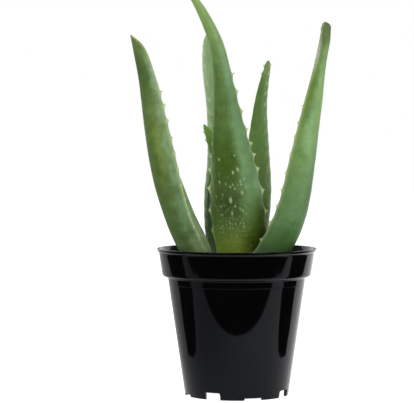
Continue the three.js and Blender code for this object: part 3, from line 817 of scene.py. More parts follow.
def aloe_skin(name, skin, settings):
    """Aloe leaf skin: waxy and smooth, olive green with a bloom of wax and a painted sheen, soft patches,
    some of them painted light and shade, pale lens-shaped spots and a horny pale margin. It reads the
    leaf's own measures, kept as attributes. Leaf_flat holds the way across and along the leaf in metres,
    and 1 on the upper face. Leaf_share holds both ways as shares of the leaf, and the margin's measure."""
    streak_width = 1.6 * MM
    streak_length = 45 * MM
    cloud_size = 9 * MM
    grain_size = 1.0 * MM
    net_width = 2.5 * MM
    net_length = 4.5 * MM
    # How far the clouds move borders: as a share of the way across, and in mm along.
    wander_across = 0.3
    wander_along = 14.0
    # How plainly the teeth show, against 1 for their own colour alone.
    teeth_show = 0.9
    material, tree = new_tree("aloe_skin_" + name)
    flat = add(tree, "Attribute", out="Vector", attribute_name="leaf_flat")
    shares = add(tree, "Attribute", out="Vector", attribute_name="leaf_share")
    place = add(tree, "TexCoord", out="Object")
    across = add(tree, "SeparateXYZ", {0: shares}, "X")
    margin = add(tree, "SeparateXYZ", {0: shares}, "Z")
    side = add(tree, "SeparateXYZ", {0: flat}, "X")
    upper = add(tree, "SeparateXYZ", {0: flat}, "Z")
    metres = add(tree, "SeparateXYZ", {0: place}, "Z")
    height = add(tree, "Math", {0: metres, 1: 1 / MM}, operation="MULTIPLY")

    # Streaks, which differ between the two faces, clouds, and a fine grain.
    streak_scales = (1 / streak_width, 1 / streak_length, 3)
    drawn = add(tree, "VectorMath", {0: flat, 1: streak_scales}, operation="MULTIPLY")
    streaks = add(tree, "TexNoise", {"Vector": drawn, "Scale": 1.0, "Detail": 3.0})
    clouds = add(tree, "TexNoise", {"Vector": place, "Scale": 1 / cloud_size, "Detail": 4.0})
    grain = add(tree, "TexNoise", {"Vector": place, "Scale": 1 / grain_size, "Detail": 2.0})

    wander = add(tree, "Math", {0: clouds, 1: -0.5}, operation="ADD")
    wandered = add(
        tree, "Math", {0: wander, 1: wander_across, 2: across}, operation="MULTIPLY_ADD",
    )
    # The bloom of wax with a painted sheen: lighter across one side of the underside, where the softboxes'
    # light falls.
    bloom_and_sheen_share = add(tree, "MapRange", {"Value": wandered}, span=skin["bloom_and_sheen_between"], **SOFT)
    olive = along_leaf(tree, height, skin["olive"])
    bloom_and_sheen = along_leaf(tree, height, skin["bloom_and_sheen"])
    under = add(tree, "Mix", {0: bloom_and_sheen_share, 6: olive, 7: bloom_and_sheen}, **OF_COLOURS)

    # Patches, some of them painted light and shade, their borders broken up by the clouds.
    blur = add(tree, "Math", {0: wander, 1: wander_along, 2: height}, operation="MULTIPLY_ADD")
    spread = add(tree, "CombineXYZ", {"X": wandered, "Y": blur})
    speckle = add(tree, "MapRange", {"Value": grain}, span=(0.35, 0.65, 0.7, 1.2))
    for share, middle, wide, long, colour, strength in PATCHES_AND_PAINTED_LIGHT.get(name, []):
        reach = reach_from(tree, spread, (share, middle), (wide, long))
        plain = add(tree, "MapRange", {"Value": reach}, span=(0, 1.5, strength, 0), **SOFT)
        mask = add(tree, "Math", {0: plain, 1: speckle}, operation="MULTIPLY", use_clamp=True)
        under = add(tree, "Mix", {0: mask, 6: under, 7: linear(colour)}, **OF_COLOURS)
    top = along_leaf(tree, height, skin["upper"])
    faces = add(tree, "Mix", {0: upper, 6: under, 7: top}, **OF_COLOURS)

    # Light and dark in the clouds, along the streaks and in the grain.
    streaked = add(tree, "Math", {0: streaks, 1: 0.45, 2: clouds}, operation="MULTIPLY_ADD")
    shade = add(tree, "Math", {0: grain, 1: 0.55, 2: streaked}, operation="MULTIPLY_ADD")
    level = add(tree, "MapRange", {"Value": shade}, span=(0.7, 1.3, 0.82, 1.18))
    toned = add(
        tree, "Mix", {0: 1.0, 6: faces, 7: level}, **OF_COLOURS, blend_type="MULTIPLY",
    )

    # Small spots: one in each cell of a net that chance picks. They are faint further up.
    net_scales = (1 / net_width, 1 / net_length, 0)
    in_cells = add(tree, "VectorMath", {0: flat, 1: net_scales}, operation="MULTIPLY")
    net = {"Vector": in_cells, "Scale": 1.0}
    cells = add(tree, "TexVoronoi", net, "Distance", voronoi_dimensions="2D")
    lot = add(tree, "TexVoronoi", net, "Color", voronoi_dimensions="2D")
    chance = add(tree, "SeparateColor", {0: lot}, "Red")
    border = add(tree, "MapRange", {"Value": chance}, span=(0, 1, 0.2, 0.46))
    core = add(tree, "Math", {0: border, 1: 0.15}, operation="MULTIPLY")
    other_chance = add(tree, "SeparateColor", {0: lot}, "Green")
    plainness = add(tree, "MapRange", {"Value": other_chance}, span=(0, 1, 0.12, 0.5))
    dots = add(tree, "MapRange", {"Value": cells}, span=(core, border, plainness, 0), **SOFT)
    fade = add(tree, "MapRange", {"Value": height}, span=(*SMALL_SPOTS_FADE, 1.0, 0.1))
    chosen = add(tree, "Math", {0: chance, 1: 1 - skin["spots"]}, operation="GREATER_THAN")
    chosen_dots = add(tree, "Math", {0: dots, 1: chosen}, operation="MULTIPLY")
    spots = add(tree, "Math", {0: chosen_dots, 1: fade}, operation="MULTIPLY")
    if name == "leaf_front":
        large = large_spots(tree, side, height, grain)
        spots = add(tree, "Math", {0: spots, 1: large}, operation="MAXIMUM")
    # The spots fade towards the second edge, and the upper face has none.
    by_side = add(tree, "MapRange", {"Value": across}, span=(0.2, 0.6, 1.0, 0.1))
    below = add(tree, "Math", {0: by_side, 1: upper}, operation="SUBTRACT", use_clamp=True)
    shown = add(tree, "Math", {0: spots, 1: below}, operation="MULTIPLY")
    dotted = add(tree, "Mix", {0: shown, 6: toned, 7: tuple(settings.spot)}, **OF_COLOURS)

    # The margin's measure goes to 1 at the plain edge and from there to 2 on a tooth.
    edge = add(tree, "MapRange", {"Value": margin}, span=(0, 1, 0, skin["line"]))
    tooth = add(tree, "MapRange", {"Value": margin}, span=(1.05, 1.7, 0, teeth_show - skin["line"]))
    pale = add(tree, "Math", {0: edge, 1: tooth}, operation="ADD")
    edged = add(tree, "Mix", {0: pale, 6: dotted, 7: tuple(settings.margin)}, **OF_COLOURS)
    rough = add(
        tree, "MapRange", {"Value": clouds},
        span=(0.3, 0.7, settings.roughness - 0.06, settings.roughness + 0.08),
    )
    relief = add(tree, "Math", {0: grain, 1: 0.5, 2: streaks}, operation="MULTIPLY_ADD")
    bump = add(tree, "Bump", {"Height": relief, "Strength": 0.3, "Distance": 0.2 * MM})
    shader = add(
        tree, "BsdfPrincipled",
        {
            "Base Color": edged, "Roughness": rough, "Normal": bump, "IOR": 1.42,
            "Specular IOR Level": 0.12, "Sheen Weight": 0.01, "Sheen Roughness": 0.4,
            "Sheen Tint": linear("#cfe3d2"),
        },
    )
    add(tree, "OutputMaterial", {"Surface": shader})
    return material


def large_spots(tree, side, height, grain):
    """Where the front leaf's larger spots lie: 1 inside them, with soft, uneven borders."""
    # The grain moves the borders sideways by up to this, mm, and by half of it as a rule.
    unevenness = 0.8
    across = add(tree, "Math", {0: side, 1: 1 / MM}, operation="MULTIPLY")
    uneven = add(tree, "Math", {0: grain, 1: unevenness, 2: across}, operation="MULTIPLY_ADD")
    spread = add(tree, "CombineXYZ", {"X": uneven, "Y": height})
    nearest = None
    for middle, level, long, faint in FRONT_SPOTS:
        # The smaller a spot is, the rounder.
        wide = 0.25 + 0.4 * long
        reach = reach_from(tree, spread, (middle + unevenness / 2, level), (wide, long), faint)
        if nearest is None:
            nearest = reach
        else:
            nearest = add(tree, "Math", {0: nearest, 1: reach}, operation="MINIMUM")
    return add(tree, "MapRange", {"Value": nearest}, span=(0.3, 1.45, 0.66, 0), **SOFT)


# ---- pot ----


def body_radius(height):
    """The wall's outer radius below the shoulder, at a height, mm."""
    share = height / SHOULDER_HEIGHT
    return BODY_FOOT_RADIUS + share * (BODY_TOP_RADIUS - BODY_FOOT_RADIUS)


def inner_radius(height):
    """The wall's inner radius at a height, mm."""
    if height <= SHOULDER_HEIGHT:
        return body_radius(height) - POT_WALL
    collar_top = POT_HEIGHT - LIP_DEPTH
    share = (height - COLLAR_FOOT_HEIGHT) / (collar_top - COLLAR_FOOT_HEIGHT)
    return COLLAR_FOOT_RADIUS + share * (COLLAR_TOP_RADIUS - COLLAR_FOOT_RADIUS) - POT_WALL


def pot_outline(settings):
    """The pot's wall, mm: (radius, height, bend), from the drain hole out, up and back in."""
    floor_top = FLOOR_UNDERSIDE + FLOOR_THICKNESS
    collar_top = POT_HEIGHT - LIP_DEPTH
    ledge = COLLAR_FOOT_HEIGHT + POT_WALL
    ring_inside = BODY_FOOT_RADIUS - FOOT_RING_WIDTH
    bead = settings.bead_height / MM
    relief = settings.bead_relief / MM
    return [
        (DRAIN_HOLE_RADIUS, FLOOR_UNDERSIDE, 0),
        (ring_inside, FLOOR_UNDERSIDE, 0.8),
        (ring_inside, 0, 0.4),
        (BODY_FOOT_RADIUS, 0, 0.5),
        *[(body_radius(height), height, 0) for height in RINGS_OVER_FOOT],
        (body_radius(bead - BEAD_HALF_HEIGHT), bead - BEAD_HALF_HEIGHT, 0.1),
        (body_radius(bead) + relief, bead, 0.1),
        (body_radius(bead + BEAD_HALF_HEIGHT), bead + BEAD_HALF_HEIGHT, 0.1),
        (BODY_TOP_RADIUS, SHOULDER_HEIGHT, 0.5),
        (BODY_TOP_RADIUS + SHOULDER_ROUNDING, SHOULDER_HEIGHT + SHOULDER_ROUNDING / 2, 0.6),
        (COLLAR_FOOT_RADIUS - SHOULDER_ROUNDING, SHOULDER_HEIGHT + SHOULDER_ROUNDING, 0.9),
        (COLLAR_FOOT_RADIUS, COLLAR_FOOT_HEIGHT, 0.9),
        (COLLAR_TOP_RADIUS, collar_top - 0.5, 0.7),
        (LIP_RADIUS - 0.4, collar_top + 0.6, 0.6),
        (LIP_RADIUS, POT_HEIGHT - 0.5, 0.5),
        (LIP_RADIUS - 0.6, POT_HEIGHT, 0.3),
        (LIP_RADIUS - LIP_WIDTH, POT_HEIGHT, 0.5),
        (inner_radius(collar_top), collar_top, 0.8),
        (inner_radius(ledge), ledge, 0.8),
        (inner_radius(SHOULDER_HEIGHT), SHOULDER_HEIGHT, 1.0),
        (inner_radius(floor_top), floor_top, 1.4),
        (DRAIN_HOLE_RADIUS, floor_top, 0),
    ]


def notch_cutter(notch):
    """A block that cuts one notch on the viewer's side, its upper corners rounded."""
    # How far it reaches below the foot, and past either face of the ring, mm.
    below = 5
    spare = 4
    height = notch["height"] + below
    depth = FOOT_RING_WIDTH + 2 * spare
    middle = BODY_FOOT_RADIUS + spare - depth / 2
    block = start(
        bpy.ops.mesh.primitive_cube_add, "notch_cutter", size=1,
        location=(0, -middle * MM, (height / 2 - below) * MM),
        scale=(notch["width"] * MM, depth * MM, height * MM),
    )
    settle(block)
    for edge in block.data.edges:
        ends = [block.data.vertices[index].co for index in edge.vertices]
        on_top = all(end.z > 0 for end in ends)
        edge.select = on_top and abs(ends[0].y - ends[1].y) > MM
    for vertex in block.data.vertices:
        vertex.select = vertex.co.z > 0
    bpy.ops.object.mode_set(mode="EDIT")
    bpy.ops.mesh.select_mode(type="EDGE")
    bpy.ops.mesh.bevel(
        offset=notch["corner"] * MM, segments=NOTCH_CORNER_STEPS, affect="EDGES",
    )
    bpy.ops.mesh.select_mode(type="VERT")
    bpy.ops.object.mode_set(mode="OBJECT")
    return block


def drain_cutter():
    """A round block that cuts one drain hole on the viewer's side."""
    return start(
        bpy.ops.mesh.primitive_cylinder_add, "drain_cutter", vertices=DRAIN_HOLE_SIDES,
        radius=DRAIN_HOLE_RADIUS * MM, depth=10 * FLOOR_THICKNESS * MM,
        location=(0, -DRAIN_HOLE_REACH * MM, FLOOR_UNDERSIDE * MM),
    )


def turned_copy(piece, degrees):
    """A copy of a cutter with its own mesh, turned round the pot's axis."""
    twin = piece.copy()
    twin.data = piece.data.copy()
    bpy.context.collection.objects.link(twin)
    turn = Matrix.Rotation(math.radians(degrees), 4, "Z")
    twin.data.transform(Matrix.Translation(AXIS) @ turn @ twin.matrix_basis)
    twin.matrix_basis = Matrix.Identity(4)
    return twin


class ALOE_OT_pot(Operator):
    """Models the moulded nursery pot with its notched foot ring and drain holes"""

    bl_idname = "aloe.pot"
    bl_label = "Nursery pot"

    def execute(self, context):
        settings = context.scene.aloe_pot
        pot = turned("nursery_pot", rounded(pot_outline(settings)), settings.sides, closed=True)
        patterns = [
            (notch_cutter(DEEP_NOTCH), DEEP_NOTCH["first"]),
            (notch_cutter(SHALLOW_NOTCH), SHALLOW_NOTCH["first"]),
            (drain_cutter(), DEEP_NOTCH["first"]),
        ]
        cutters = []
        for pattern, first in patterns:
            for index in range(NOTCHES_PER_KIND):
                cutters.append(turned_copy(pattern, first + index * 360 / NOTCHES_PER_KIND))
            drop(pattern)
        cutter = join(cutters)
        context.view_layer.objects.active = pot
        cut = pot.modifiers.new("notches", "BOOLEAN")
        cut.operation = "DIFFERENCE"
        cut.solver = "EXACT"
        cut.object = cutter
        bpy.ops.object.modifier_apply(modifier=cut.name)
        drop(cutter)
        smooth(pot, degrees=32)
        finish_piece(pot, "pot", moulded_polypropylene(settings), "pot")
        return {"FINISHED"}


# ---- potting mix and crown ----


def smoothstep(value, low, high):
    """0 below low, 1 above high, and an even curve between them."""
    share = min(1.0, max(0.0, (value - low) / (high - low)))
    return share * share * (3 - 2 * share)


def mix_height(x, y, lumpiness):
    """Height of the mix over the flat top, metres, at a place from the pot's axis. The last
    figure of each vector picks a pattern of its own."""
    lump = LUMP_WIDTH * MM
    crumb = CRUMB_WIDTH * MM
    broad = noise.noise(Vector((x / lump, y / lump, 3.1)))
    fine = noise.noise(Vector((x / crumb, y / crumb, 7.7)))
    open_ground = smoothstep(math.hypot(x, y) / MM, *LUMPS_RISE)
    return lumpiness * (open_ground * broad + CRUMB_SHARE * fine)


def soil_outline():
    """The mix's block, mm: from the stem's hole down, out, up the wall and over the top."""
    foot_bevel = 1.5
    foot_inset = 2
    brim = 1
    top_rings = 44
    floor = FLOOR_UNDERSIDE + FLOOR_THICKNESS + GAP
    ledge = COLLAR_FOOT_HEIGHT + POT_WALL + 2 * GAP
    inside = STEM_TOP_RADIUS + GAP
    top = np.linspace(inner_radius(SOIL_HEIGHT) - brim, inside, top_rings)
    return [
        Vector((inside, STEM_HOLE_FOOT)),
        Vector((inside, floor)),
        Vector((inner_radius(floor) - foot_inset, floor)),
        Vector((inner_radius(floor + foot_bevel) - 2 * GAP, floor + foot_bevel)),
        Vector((inner_radius(SHOULDER_HEIGHT) - GAP, SHOULDER_HEIGHT + GAP)),
        Vector((inner_radius(ledge) - 2 * GAP, ledge)),
        Vector((inner_radius(SOIL_HEIGHT) - 2 * GAP, SOIL_HEIGHT - brim)),
        *[Vector((radius, SOIL_HEIGHT)) for radius in top],
    ]


def points_on_top(piece):
    """The points of a piece's top, each with its place from the pot's axis."""
    for vertex in piece.data.vertices:
        if vertex.co.z > (SOIL_HEIGHT - TOP_MARGIN) * MM:
            yield vertex, vertex.co.x - AXIS.x, vertex.co.y - AXIS.y


def scatter(name, count, lumpiness, sizes, flatness, seed):
    """Grains on the mix: a small ball, copied, each copy bent out of shape in its own way."""
    most_tilt = 0.5
    bend_depth = 0.45
    bends_per_radius = 1.4
    lift = 0.15
    smallest, largest = (size * MM for size in sizes)
    nearest, furthest = (radius * MM for radius in GRAINS_LIE)
    rng = np.random.default_rng(seed)
    pattern = start(
        bpy.ops.mesh.primitive_ico_sphere_add, name + "_pattern", subdivisions=2, radius=1,
    )
    grains = []
    for index in range(count):
        reach = math.sqrt(rng.uniform(nearest**2, furthest**2))
        angle = rng.uniform(0, 2 * math.pi)
        size = rng.uniform(smallest, largest)
        turn = Matrix.Rotation(rng.uniform(0, 2 * math.pi), 4, "Z")
        tilt = Matrix.Rotation(rng.uniform(-most_tilt, most_tilt), 4, "X")
        stretch = Matrix.Diagonal((1, rng.uniform(0.5, 0.9), flatness * rng.uniform(0.7, 1.2), 1))
        x, y = reach * math.cos(angle), reach * math.sin(angle)
        height = SOIL_HEIGHT * MM + mix_height(x, y, lumpiness) + lift * size
        grain = pattern.copy()
        grain.data = pattern.data.copy()
        grain.name = f"{name}_{index}"
        bpy.context.collection.objects.link(grain)
        for vertex in grain.data.vertices:
            own_pattern = Vector((index * 3.7, seed, 0))
            bend = noise.noise(vertex.co * bends_per_radius + own_pattern)
            vertex.co *= 1 + bend_depth * bend
        place = Matrix.Translation((AXIS.x + x, AXIS.y + y, height))
        grain.data.transform(place @ turn @ tilt @ stretch @ Matrix.Scale(size / 2, 4))
        grains.append(grain)
    drop(pattern)
    piece = join(grains)
    piece.name = name
    piece.data.name = name
    return piece


class ALOE_OT_mix(Operator):
    """Models the potting mix with the bark bits and perlite grains on it"""

    bl_idname = "aloe.mix"
    bl_label = "Potting mix"

    def execute(self, context):
        settings = context.scene.aloe_mix
        lumpiness = settings.lumpiness
        bark_colour = tuple(settings.bark)
        perlite_colour = tuple(settings.perlite)
        mix = turned("potting_mix", soil_outline(), SOIL_SIDES, closed=True)
        for vertex, x, y in points_on_top(mix):
            vertex.co.z += mix_height(x, y, lumpiness)
        smooth(mix, degrees=60)
        finish_piece(mix, "soil", moist_peat(settings), "soil")
        bark = scatter("bark_bits", settings.bark_count, lumpiness, **BARK_BITS)
        smooth(bark, degrees=50)
        woody = speckled("pine_bark_shredded", bark_colour, linear("#33231a"), 1.5 * MM, 0.9)
        finish_piece(bark, "soil", woody)
        perlite = scatter("perlite_grains", settings.perlite_count, lumpiness, **PERLITE_GRAINS)
        smooth(perlite, degrees=50)
        puffed = speckled("perlite_expanded", perlite_colour, linear("#aaa595"), 0.5 * MM, 0.95)
        finish_piece(perlite, "soil", puffed)
        return {"FINISHED"}


class ALOE_OT_crown(Operator):
    """Models the short stem that the leaves grow from"""

    bl_idname = "aloe.crown"
    bl_label = "Crown"

    def execute(self, context):
        foot = SOIL_HEIGHT - STEM_LENGTH
        side = [
            (STEM_TOP_RADIUS * share, foot + STEM_LENGTH * rise, STEM_ROUNDING)
            for share, rise in STEM_OUTLINE
        ]
        rim = (STEM_TOP_RADIUS, SOIL_HEIGHT, 1.0)
        radii = np.linspace(STEM_TOP_RADIUS - STEM_ROUNDING, STEM_HUB, STEM_TOP_RINGS)
        top = [(radius, SOIL_HEIGHT, 0) for radius in radii]
        outline = rounded([(STEM_HUB, foot, 0), *side, rim, *top])
        crown = turned("crown_stem", outline, STEM_SIDES, closed=False)
        for vertex, x, y in points_on_top(crown):
            winding = SCARS["winding"] * math.atan2(y, x)
            wave = math.sin(math.hypot(x, y) / (SCARS["spacing"] * MM) + winding)
            vertex.co.z -= MM * (SCARS["depth"] - SCARS["change"] * wave)
        select_only(crown)
        bpy.ops.object.mode_set(mode="EDIT")
        select_open_edges()
        bpy.ops.mesh.edge_face_add()
        end_edit()
        smooth(crown, degrees=60)
        skin = speckled("aloe_stem_corky", linear("#8d8a5c"), linear("#5d5a38"), 1.8 * MM, 0.8)
        finish_piece(crown, "stem", skin, "stem")
        return {"FINISHED"}


# ---- leaves ----

# Columns round a leaf's section: upper face, first edge, underside, second edge.
UPPER_COLUMNS = 22
UNDER_COLUMNS = 32
EDGE_COLUMNS = 6
# Steps in which a leaf's way is measured, and rings in its last mm.
WAY_STEPS = 4000
TIP_LENGTH = 2.0
TIP_RINGS = 8
# Sizes of the form, mm.
EDGE_ROUND = 0.35
MARGIN_WIDTH = 0.45
# How much sooner than the leaf its edges and its teeth run out at the tip.
EDGES_RUN_OUT = 2.5
TEETH_RUN_OUT = 4
# Teeth: how far out their foot stands on the two faces, as a share of their length, how
# much thinner than the edge a full tooth is at its tip, and the power that rounds them.
TOOTH_FOOT = 0.12
TOOTH_THINS = 0.8
TOOTH_POWER = 0.8
# The power that rounds the belly's section: 0.5 would be an ellipse.
BELLY_POWER = 0.75
# Swells of the fleshy blade: length in mm, how many go across, and height. Broad ones and
# ribs add up, and the wrinkles of a dried tip come over a share of the leaf's way.
SWELL = {"length": 38, "across": 1.3}
RIB = {"length": 110, "across": 6, "share": 0.35}
WRINKLE = {"length": 2.2, "across": 3.5, "depth": 1.3, "come_over": 0.04}
UNDER_SWELL = 0.45
UPPER_SWELL = 0.3
# Between the patterns of one leaf's swells and the next one's.
SEED_STEP = 5.3


def spline(rows, t, held=False):
    """Points of the smooth curve through rows, at shares t of its way. With held, the
    curve comes to rest at its ends, as the CAD model's belly and hollow do."""
    rows = np.asarray(rows, float)
    last = len(rows) - 1
    place = np.clip(t, 0, 1) * last
    index = np.minimum(place.astype(int), last - 1)
    step = (place - index)[:, None]
    if held:
        padded = np.vstack([rows[:1], rows, rows[-1:]])
    else:
        padded = np.vstack([2 * rows[:1] - rows[1:2], rows, 2 * rows[-1:] - rows[-2:-1]])
    before, begin, end, after = (padded[index + shift] for shift in range(4))
    rise_in = (end - before) / 2
    rise_out = (after - begin) / 2
    squared = (3 * (end - begin) - 2 * rise_in - rise_out) * step**2
    cubed = (2 * (begin - end) + rise_in + rise_out) * step**3
    return begin + rise_in * step + squared + cubed


class Blade:
    """One leaf's form, mm from the pot's axis, along the same curves as its CAD solid."""

    def __init__(self, plan, step):
        self.plan = plan
        self.stations = np.array(plan["stations"], float)
        fine = np.linspace(0, 1, WAY_STEPS + 1)
        spine = spline(self.stations[:, :3], fine)
        steps = np.linalg.norm(np.diff(spine, axis=0), axis=1)
        self.fine = fine
        self.lengths = np.concatenate([[0], np.cumsum(steps)])
        rows = {-1: plan.get("teeth_of_first_edge", plan["teeth"]), 1: plan["teeth"]}
        self.teeth = {
            side: np.interp(heights, spine[:, 2], fine) for side, heights in rows.items()
        }
        self.t = self.ring_places(step)
        self.along_mm = np.interp(self.t, fine, self.lengths)
        levels = np.interp(self.t, fine, spine[:, 2])
        slender = plan.get("slender", {"heights": (0,), "power": (BITE,)})
        self.power = np.interp(levels, slender["heights"], slender["power"])
        worn = plan.get("worn_edge", {"side": 0, "heights": (0,), "teeth": (1,)})
        kept = np.interp(levels, worn["heights"], worn["teeth"])
        whole = np.ones(len(self.t))
        self.wear = {side: kept if side == worn["side"] else whole for side in (-1, 1)}

    def ring_places(self, step):
        """Even rings, one of them at each tooth, and closer ones at the very tip."""
        length = self.lengths[-1]
        even_length = length - TIP_LENGTH
        even = np.linspace(0, even_length, int(even_length / step))
        tip = length - TIP_LENGTH * np.linspace(1, 0, TIP_RINGS + 1)[1:] ** 2
        places = np.interp(np.concatenate([even, tip]), self.lengths, self.fine)
        for tooth in [*self.teeth[-1], *self.teeth[1]]:
            places[np.argmin(abs(places - tooth))] = tooth
        return places

    def tip_share(self):
        """The share of its full width that the leaf has, rounding off to none at its tip."""
        start_at = self.plan["tip_start"]
        past = np.maximum(0, (self.t - start_at) / (1 - start_at))
        return np.sqrt(np.maximum(0, 1 - past * past))

    def scallop(self, side):
        """How far an edge draws in between two teeth."""
        places = self.teeth[side]
        index = np.clip(np.searchsorted(places, self.t, side="right") - 1, 0, len(places) - 2)
        count = index + (self.t - places[index]) / (places[index + 1] - places[index])
        depth = SCALLOP_DEPTH * (BITE / self.power) * (1 - np.cos(2 * np.pi * count)) / 2
        return np.where(self.t > places[-1], 0, depth) * self.wear[side]

    def tooth_share(self, side, half_width):
        """1 at a tooth's tip, hollowed out evenly between two teeth as if by round bites,
        and the size of the nearest tooth."""
        places = self.teeth[side]
        middles = np.interp(places, self.fine, self.lengths)
        sizes = np.clip(
            np.interp(places, self.t, half_width) / TOOTH["full_on"],
            self.plan.get("smallest_tooth", TOOTH["smallest"]), 1,
        )
        ends = [middles[0] - TOOTH["run_out"], *middles, middles[-1] + TOOTH["run_out"]]
        nearest = np.abs(self.along_mm[:, None] - middles[None, :]).argmin(axis=1)
        gap = np.clip(np.searchsorted(ends, self.along_mm) - 1, 0, len(ends) - 2)
        span = np.diff(ends)[gap]
        closeness = 1 - 2 * np.abs(self.along_mm - middles[nearest]) / span
        bitten = (1 - np.sqrt(1 - np.clip(closeness, 0, 1) ** 2)) ** self.power
        return bitten, sizes[nearest]

    def waves(self, spots, length, across, seed):
        """An uneven pattern over the leaf: a row for each ring, a column for each spot."""
        return np.array([
            [noise.noise(Vector((along / length, spot * across, seed))) for spot in spots]
            for along in self.along_mm
        ])

    def relief(self, spots, seed, strength):
        """Small swells of the fleshy blade, mm: broad ones, and long shallow ribs."""
        broad = self.waves(spots, SWELL["length"], SWELL["across"], seed)
        ribs = self.waves(spots, RIB["length"], RIB["across"], seed + 7.3)
        even_edges = 1 - np.abs(spots)[None, :] ** 3
        swells = strength * (broad + RIB["share"] * ribs) * even_edges
        if "wrinkled_from" not in self.plan:
            return swells
        wrinkles = self.waves(spots, WRINKLE["length"], WRINKLE["across"], seed)
        past = self.t - self.plan["wrinkled_from"]
        dried = WRINKLE["depth"] * np.clip(past / WRINKLE["come_over"], 0, 1)
        return swells + wrinkles * dried[:, None]

    def points(self, seed):
        """Rings of points, with each point's measures for the skin's patterns."""
        form = spline(self.stations, self.t)
        nearby = 1e-4
        ahead = spline(self.stations[:, :3], self.t + nearby)
        behind = spline(self.stations[:, :3], self.t - nearby)
        along = ahead - behind
        along /= np.linalg.norm(along, axis=1)[:, None]
        facing = np.radians(form[:, 4])
        across = np.stack([-np.sin(facing), np.cos(facing), 0 * facing], axis=1)
        across -= (across * along).sum(1)[:, None] * along
        across /= np.linalg.norm(across, axis=1)[:, None]
        inward = np.cross(along, across)
        tip = self.tip_share()
        full = form[:, 3] * tip
        half = {side: full / 2 - self.scallop(side) * tip for side in (-1, 1)}
        belly = full * spline(np.array(self.plan["belly"])[:, None], self.t, held=True)[:, 0]
        hollow = full * spline(np.array(self.plan["hollow"])[:, None], self.t, held=True)[:, 0]
        edge_left = np.minimum(1, EDGES_RUN_OUT * tip)
        edge = EDGE_HALF_THICKNESS * edge_left
        tooth_left = self.plan.get("tooth_scale", 1) * np.minimum(1, TEETH_RUN_OUT * tip)
        teeth = {}
        for side in (-1, 1):
            share, nearest_size = self.tooth_share(side, full / 2)
            size = nearest_size * self.wear[side] * tooth_left
            teeth[side] = (share, TOOTH["length"] * size * share, TOOTH["lean"] * size * share**2)

        turn = np.linspace(np.pi / 2, -np.pi / 2, UPPER_COLUMNS + 1)
        under_turn = np.linspace(-np.pi / 2, np.pi / 2, UNDER_COLUMNS + 1)
        upper_spots = np.sin(turn)
        under_spots = np.sin(under_turn)
        swell = self.relief(under_spots, seed, UNDER_SWELL)
        upper_swell = self.relief(upper_spots, seed + 31, UPPER_SWELL)
        columns = []

        def put(spot, out, depth, shift, upper, margin):
            """One line of points along the leaf."""
            side = spot * half[1 if spot > 0 else -1] + out
            place = form[:, :3] + across * side[:, None] + inward * depth[:, None]
            place = place + along * shift[:, None]
            flat = np.stack([side, self.along_mm + shift, 0 * side + upper], axis=1)
            shares = np.stack([0 * side + spot, self.t, 0 * side + margin], axis=1)
            columns.append((place, flat, shares))

        none = np.zeros(len(self.t))

        def rim(spot):
            """How much a place belongs to the pale margin: 1 on it, more at a tooth's foot,
            and 0 a margin's width off."""
            edge_on = 1 if spot > 0 else -1
            on_margin = np.clip(1 - (1 - abs(spot)) * half[edge_on] / MARGIN_WIDTH, 0, 1)
            return on_margin * (1 + 0.5 * teeth[edge_on][0])

        def put_edge(side, angles):
            """The lines round one edge, with its teeth."""
            share, reach, lean = teeth[side]
            raised_teeth = self.plan.get("raised_teeth", {"side": 0})
            tilt = raised_teeth["by"] if side == raised_teeth["side"] else 0
            for angle in angles:
                out = math.cos(angle)
                raised = TOOTH_FOOT + (1 - TOOTH_FOOT) * out**TOOTH_POWER
                thin = 1 - TOOTH_THINS * (reach / TOOTH["length"]) * raised
                put(
                    side,
                    side * (EDGE_ROUND * out * edge_left + reach * raised),
                    edge * math.sin(angle) * thin + tilt * reach * raised,
                    lean * raised,
                    0.5 + 0.5 * math.sin(angle),
                    1 + share * self.wear[side],
                )

        for index, spot in enumerate(upper_spots):
            depth = edge - hollow * (1 - spot**2) - upper_swell[:, index] * tip
            put(spot, none, depth, none, 1, rim(spot))
        put_edge(-1, np.linspace(np.pi / 2, -np.pi / 2, EDGE_COLUMNS + 1)[1:-1])
        for index, spot in enumerate(under_spots):
            depth = -edge - belly * max(0, 1 - spot**2) ** BELLY_POWER + swell[:, index] * tip
            put(spot, none, depth, none, 0, rim(spot))
        put_edge(1, np.linspace(-np.pi / 2, np.pi / 2, EDGE_COLUMNS + 1)[1:-1])
        columns.append(columns[0])
        places, flats, shares = (np.stack(kind, axis=1) for kind in zip(*columns))
        return places, flats, shares


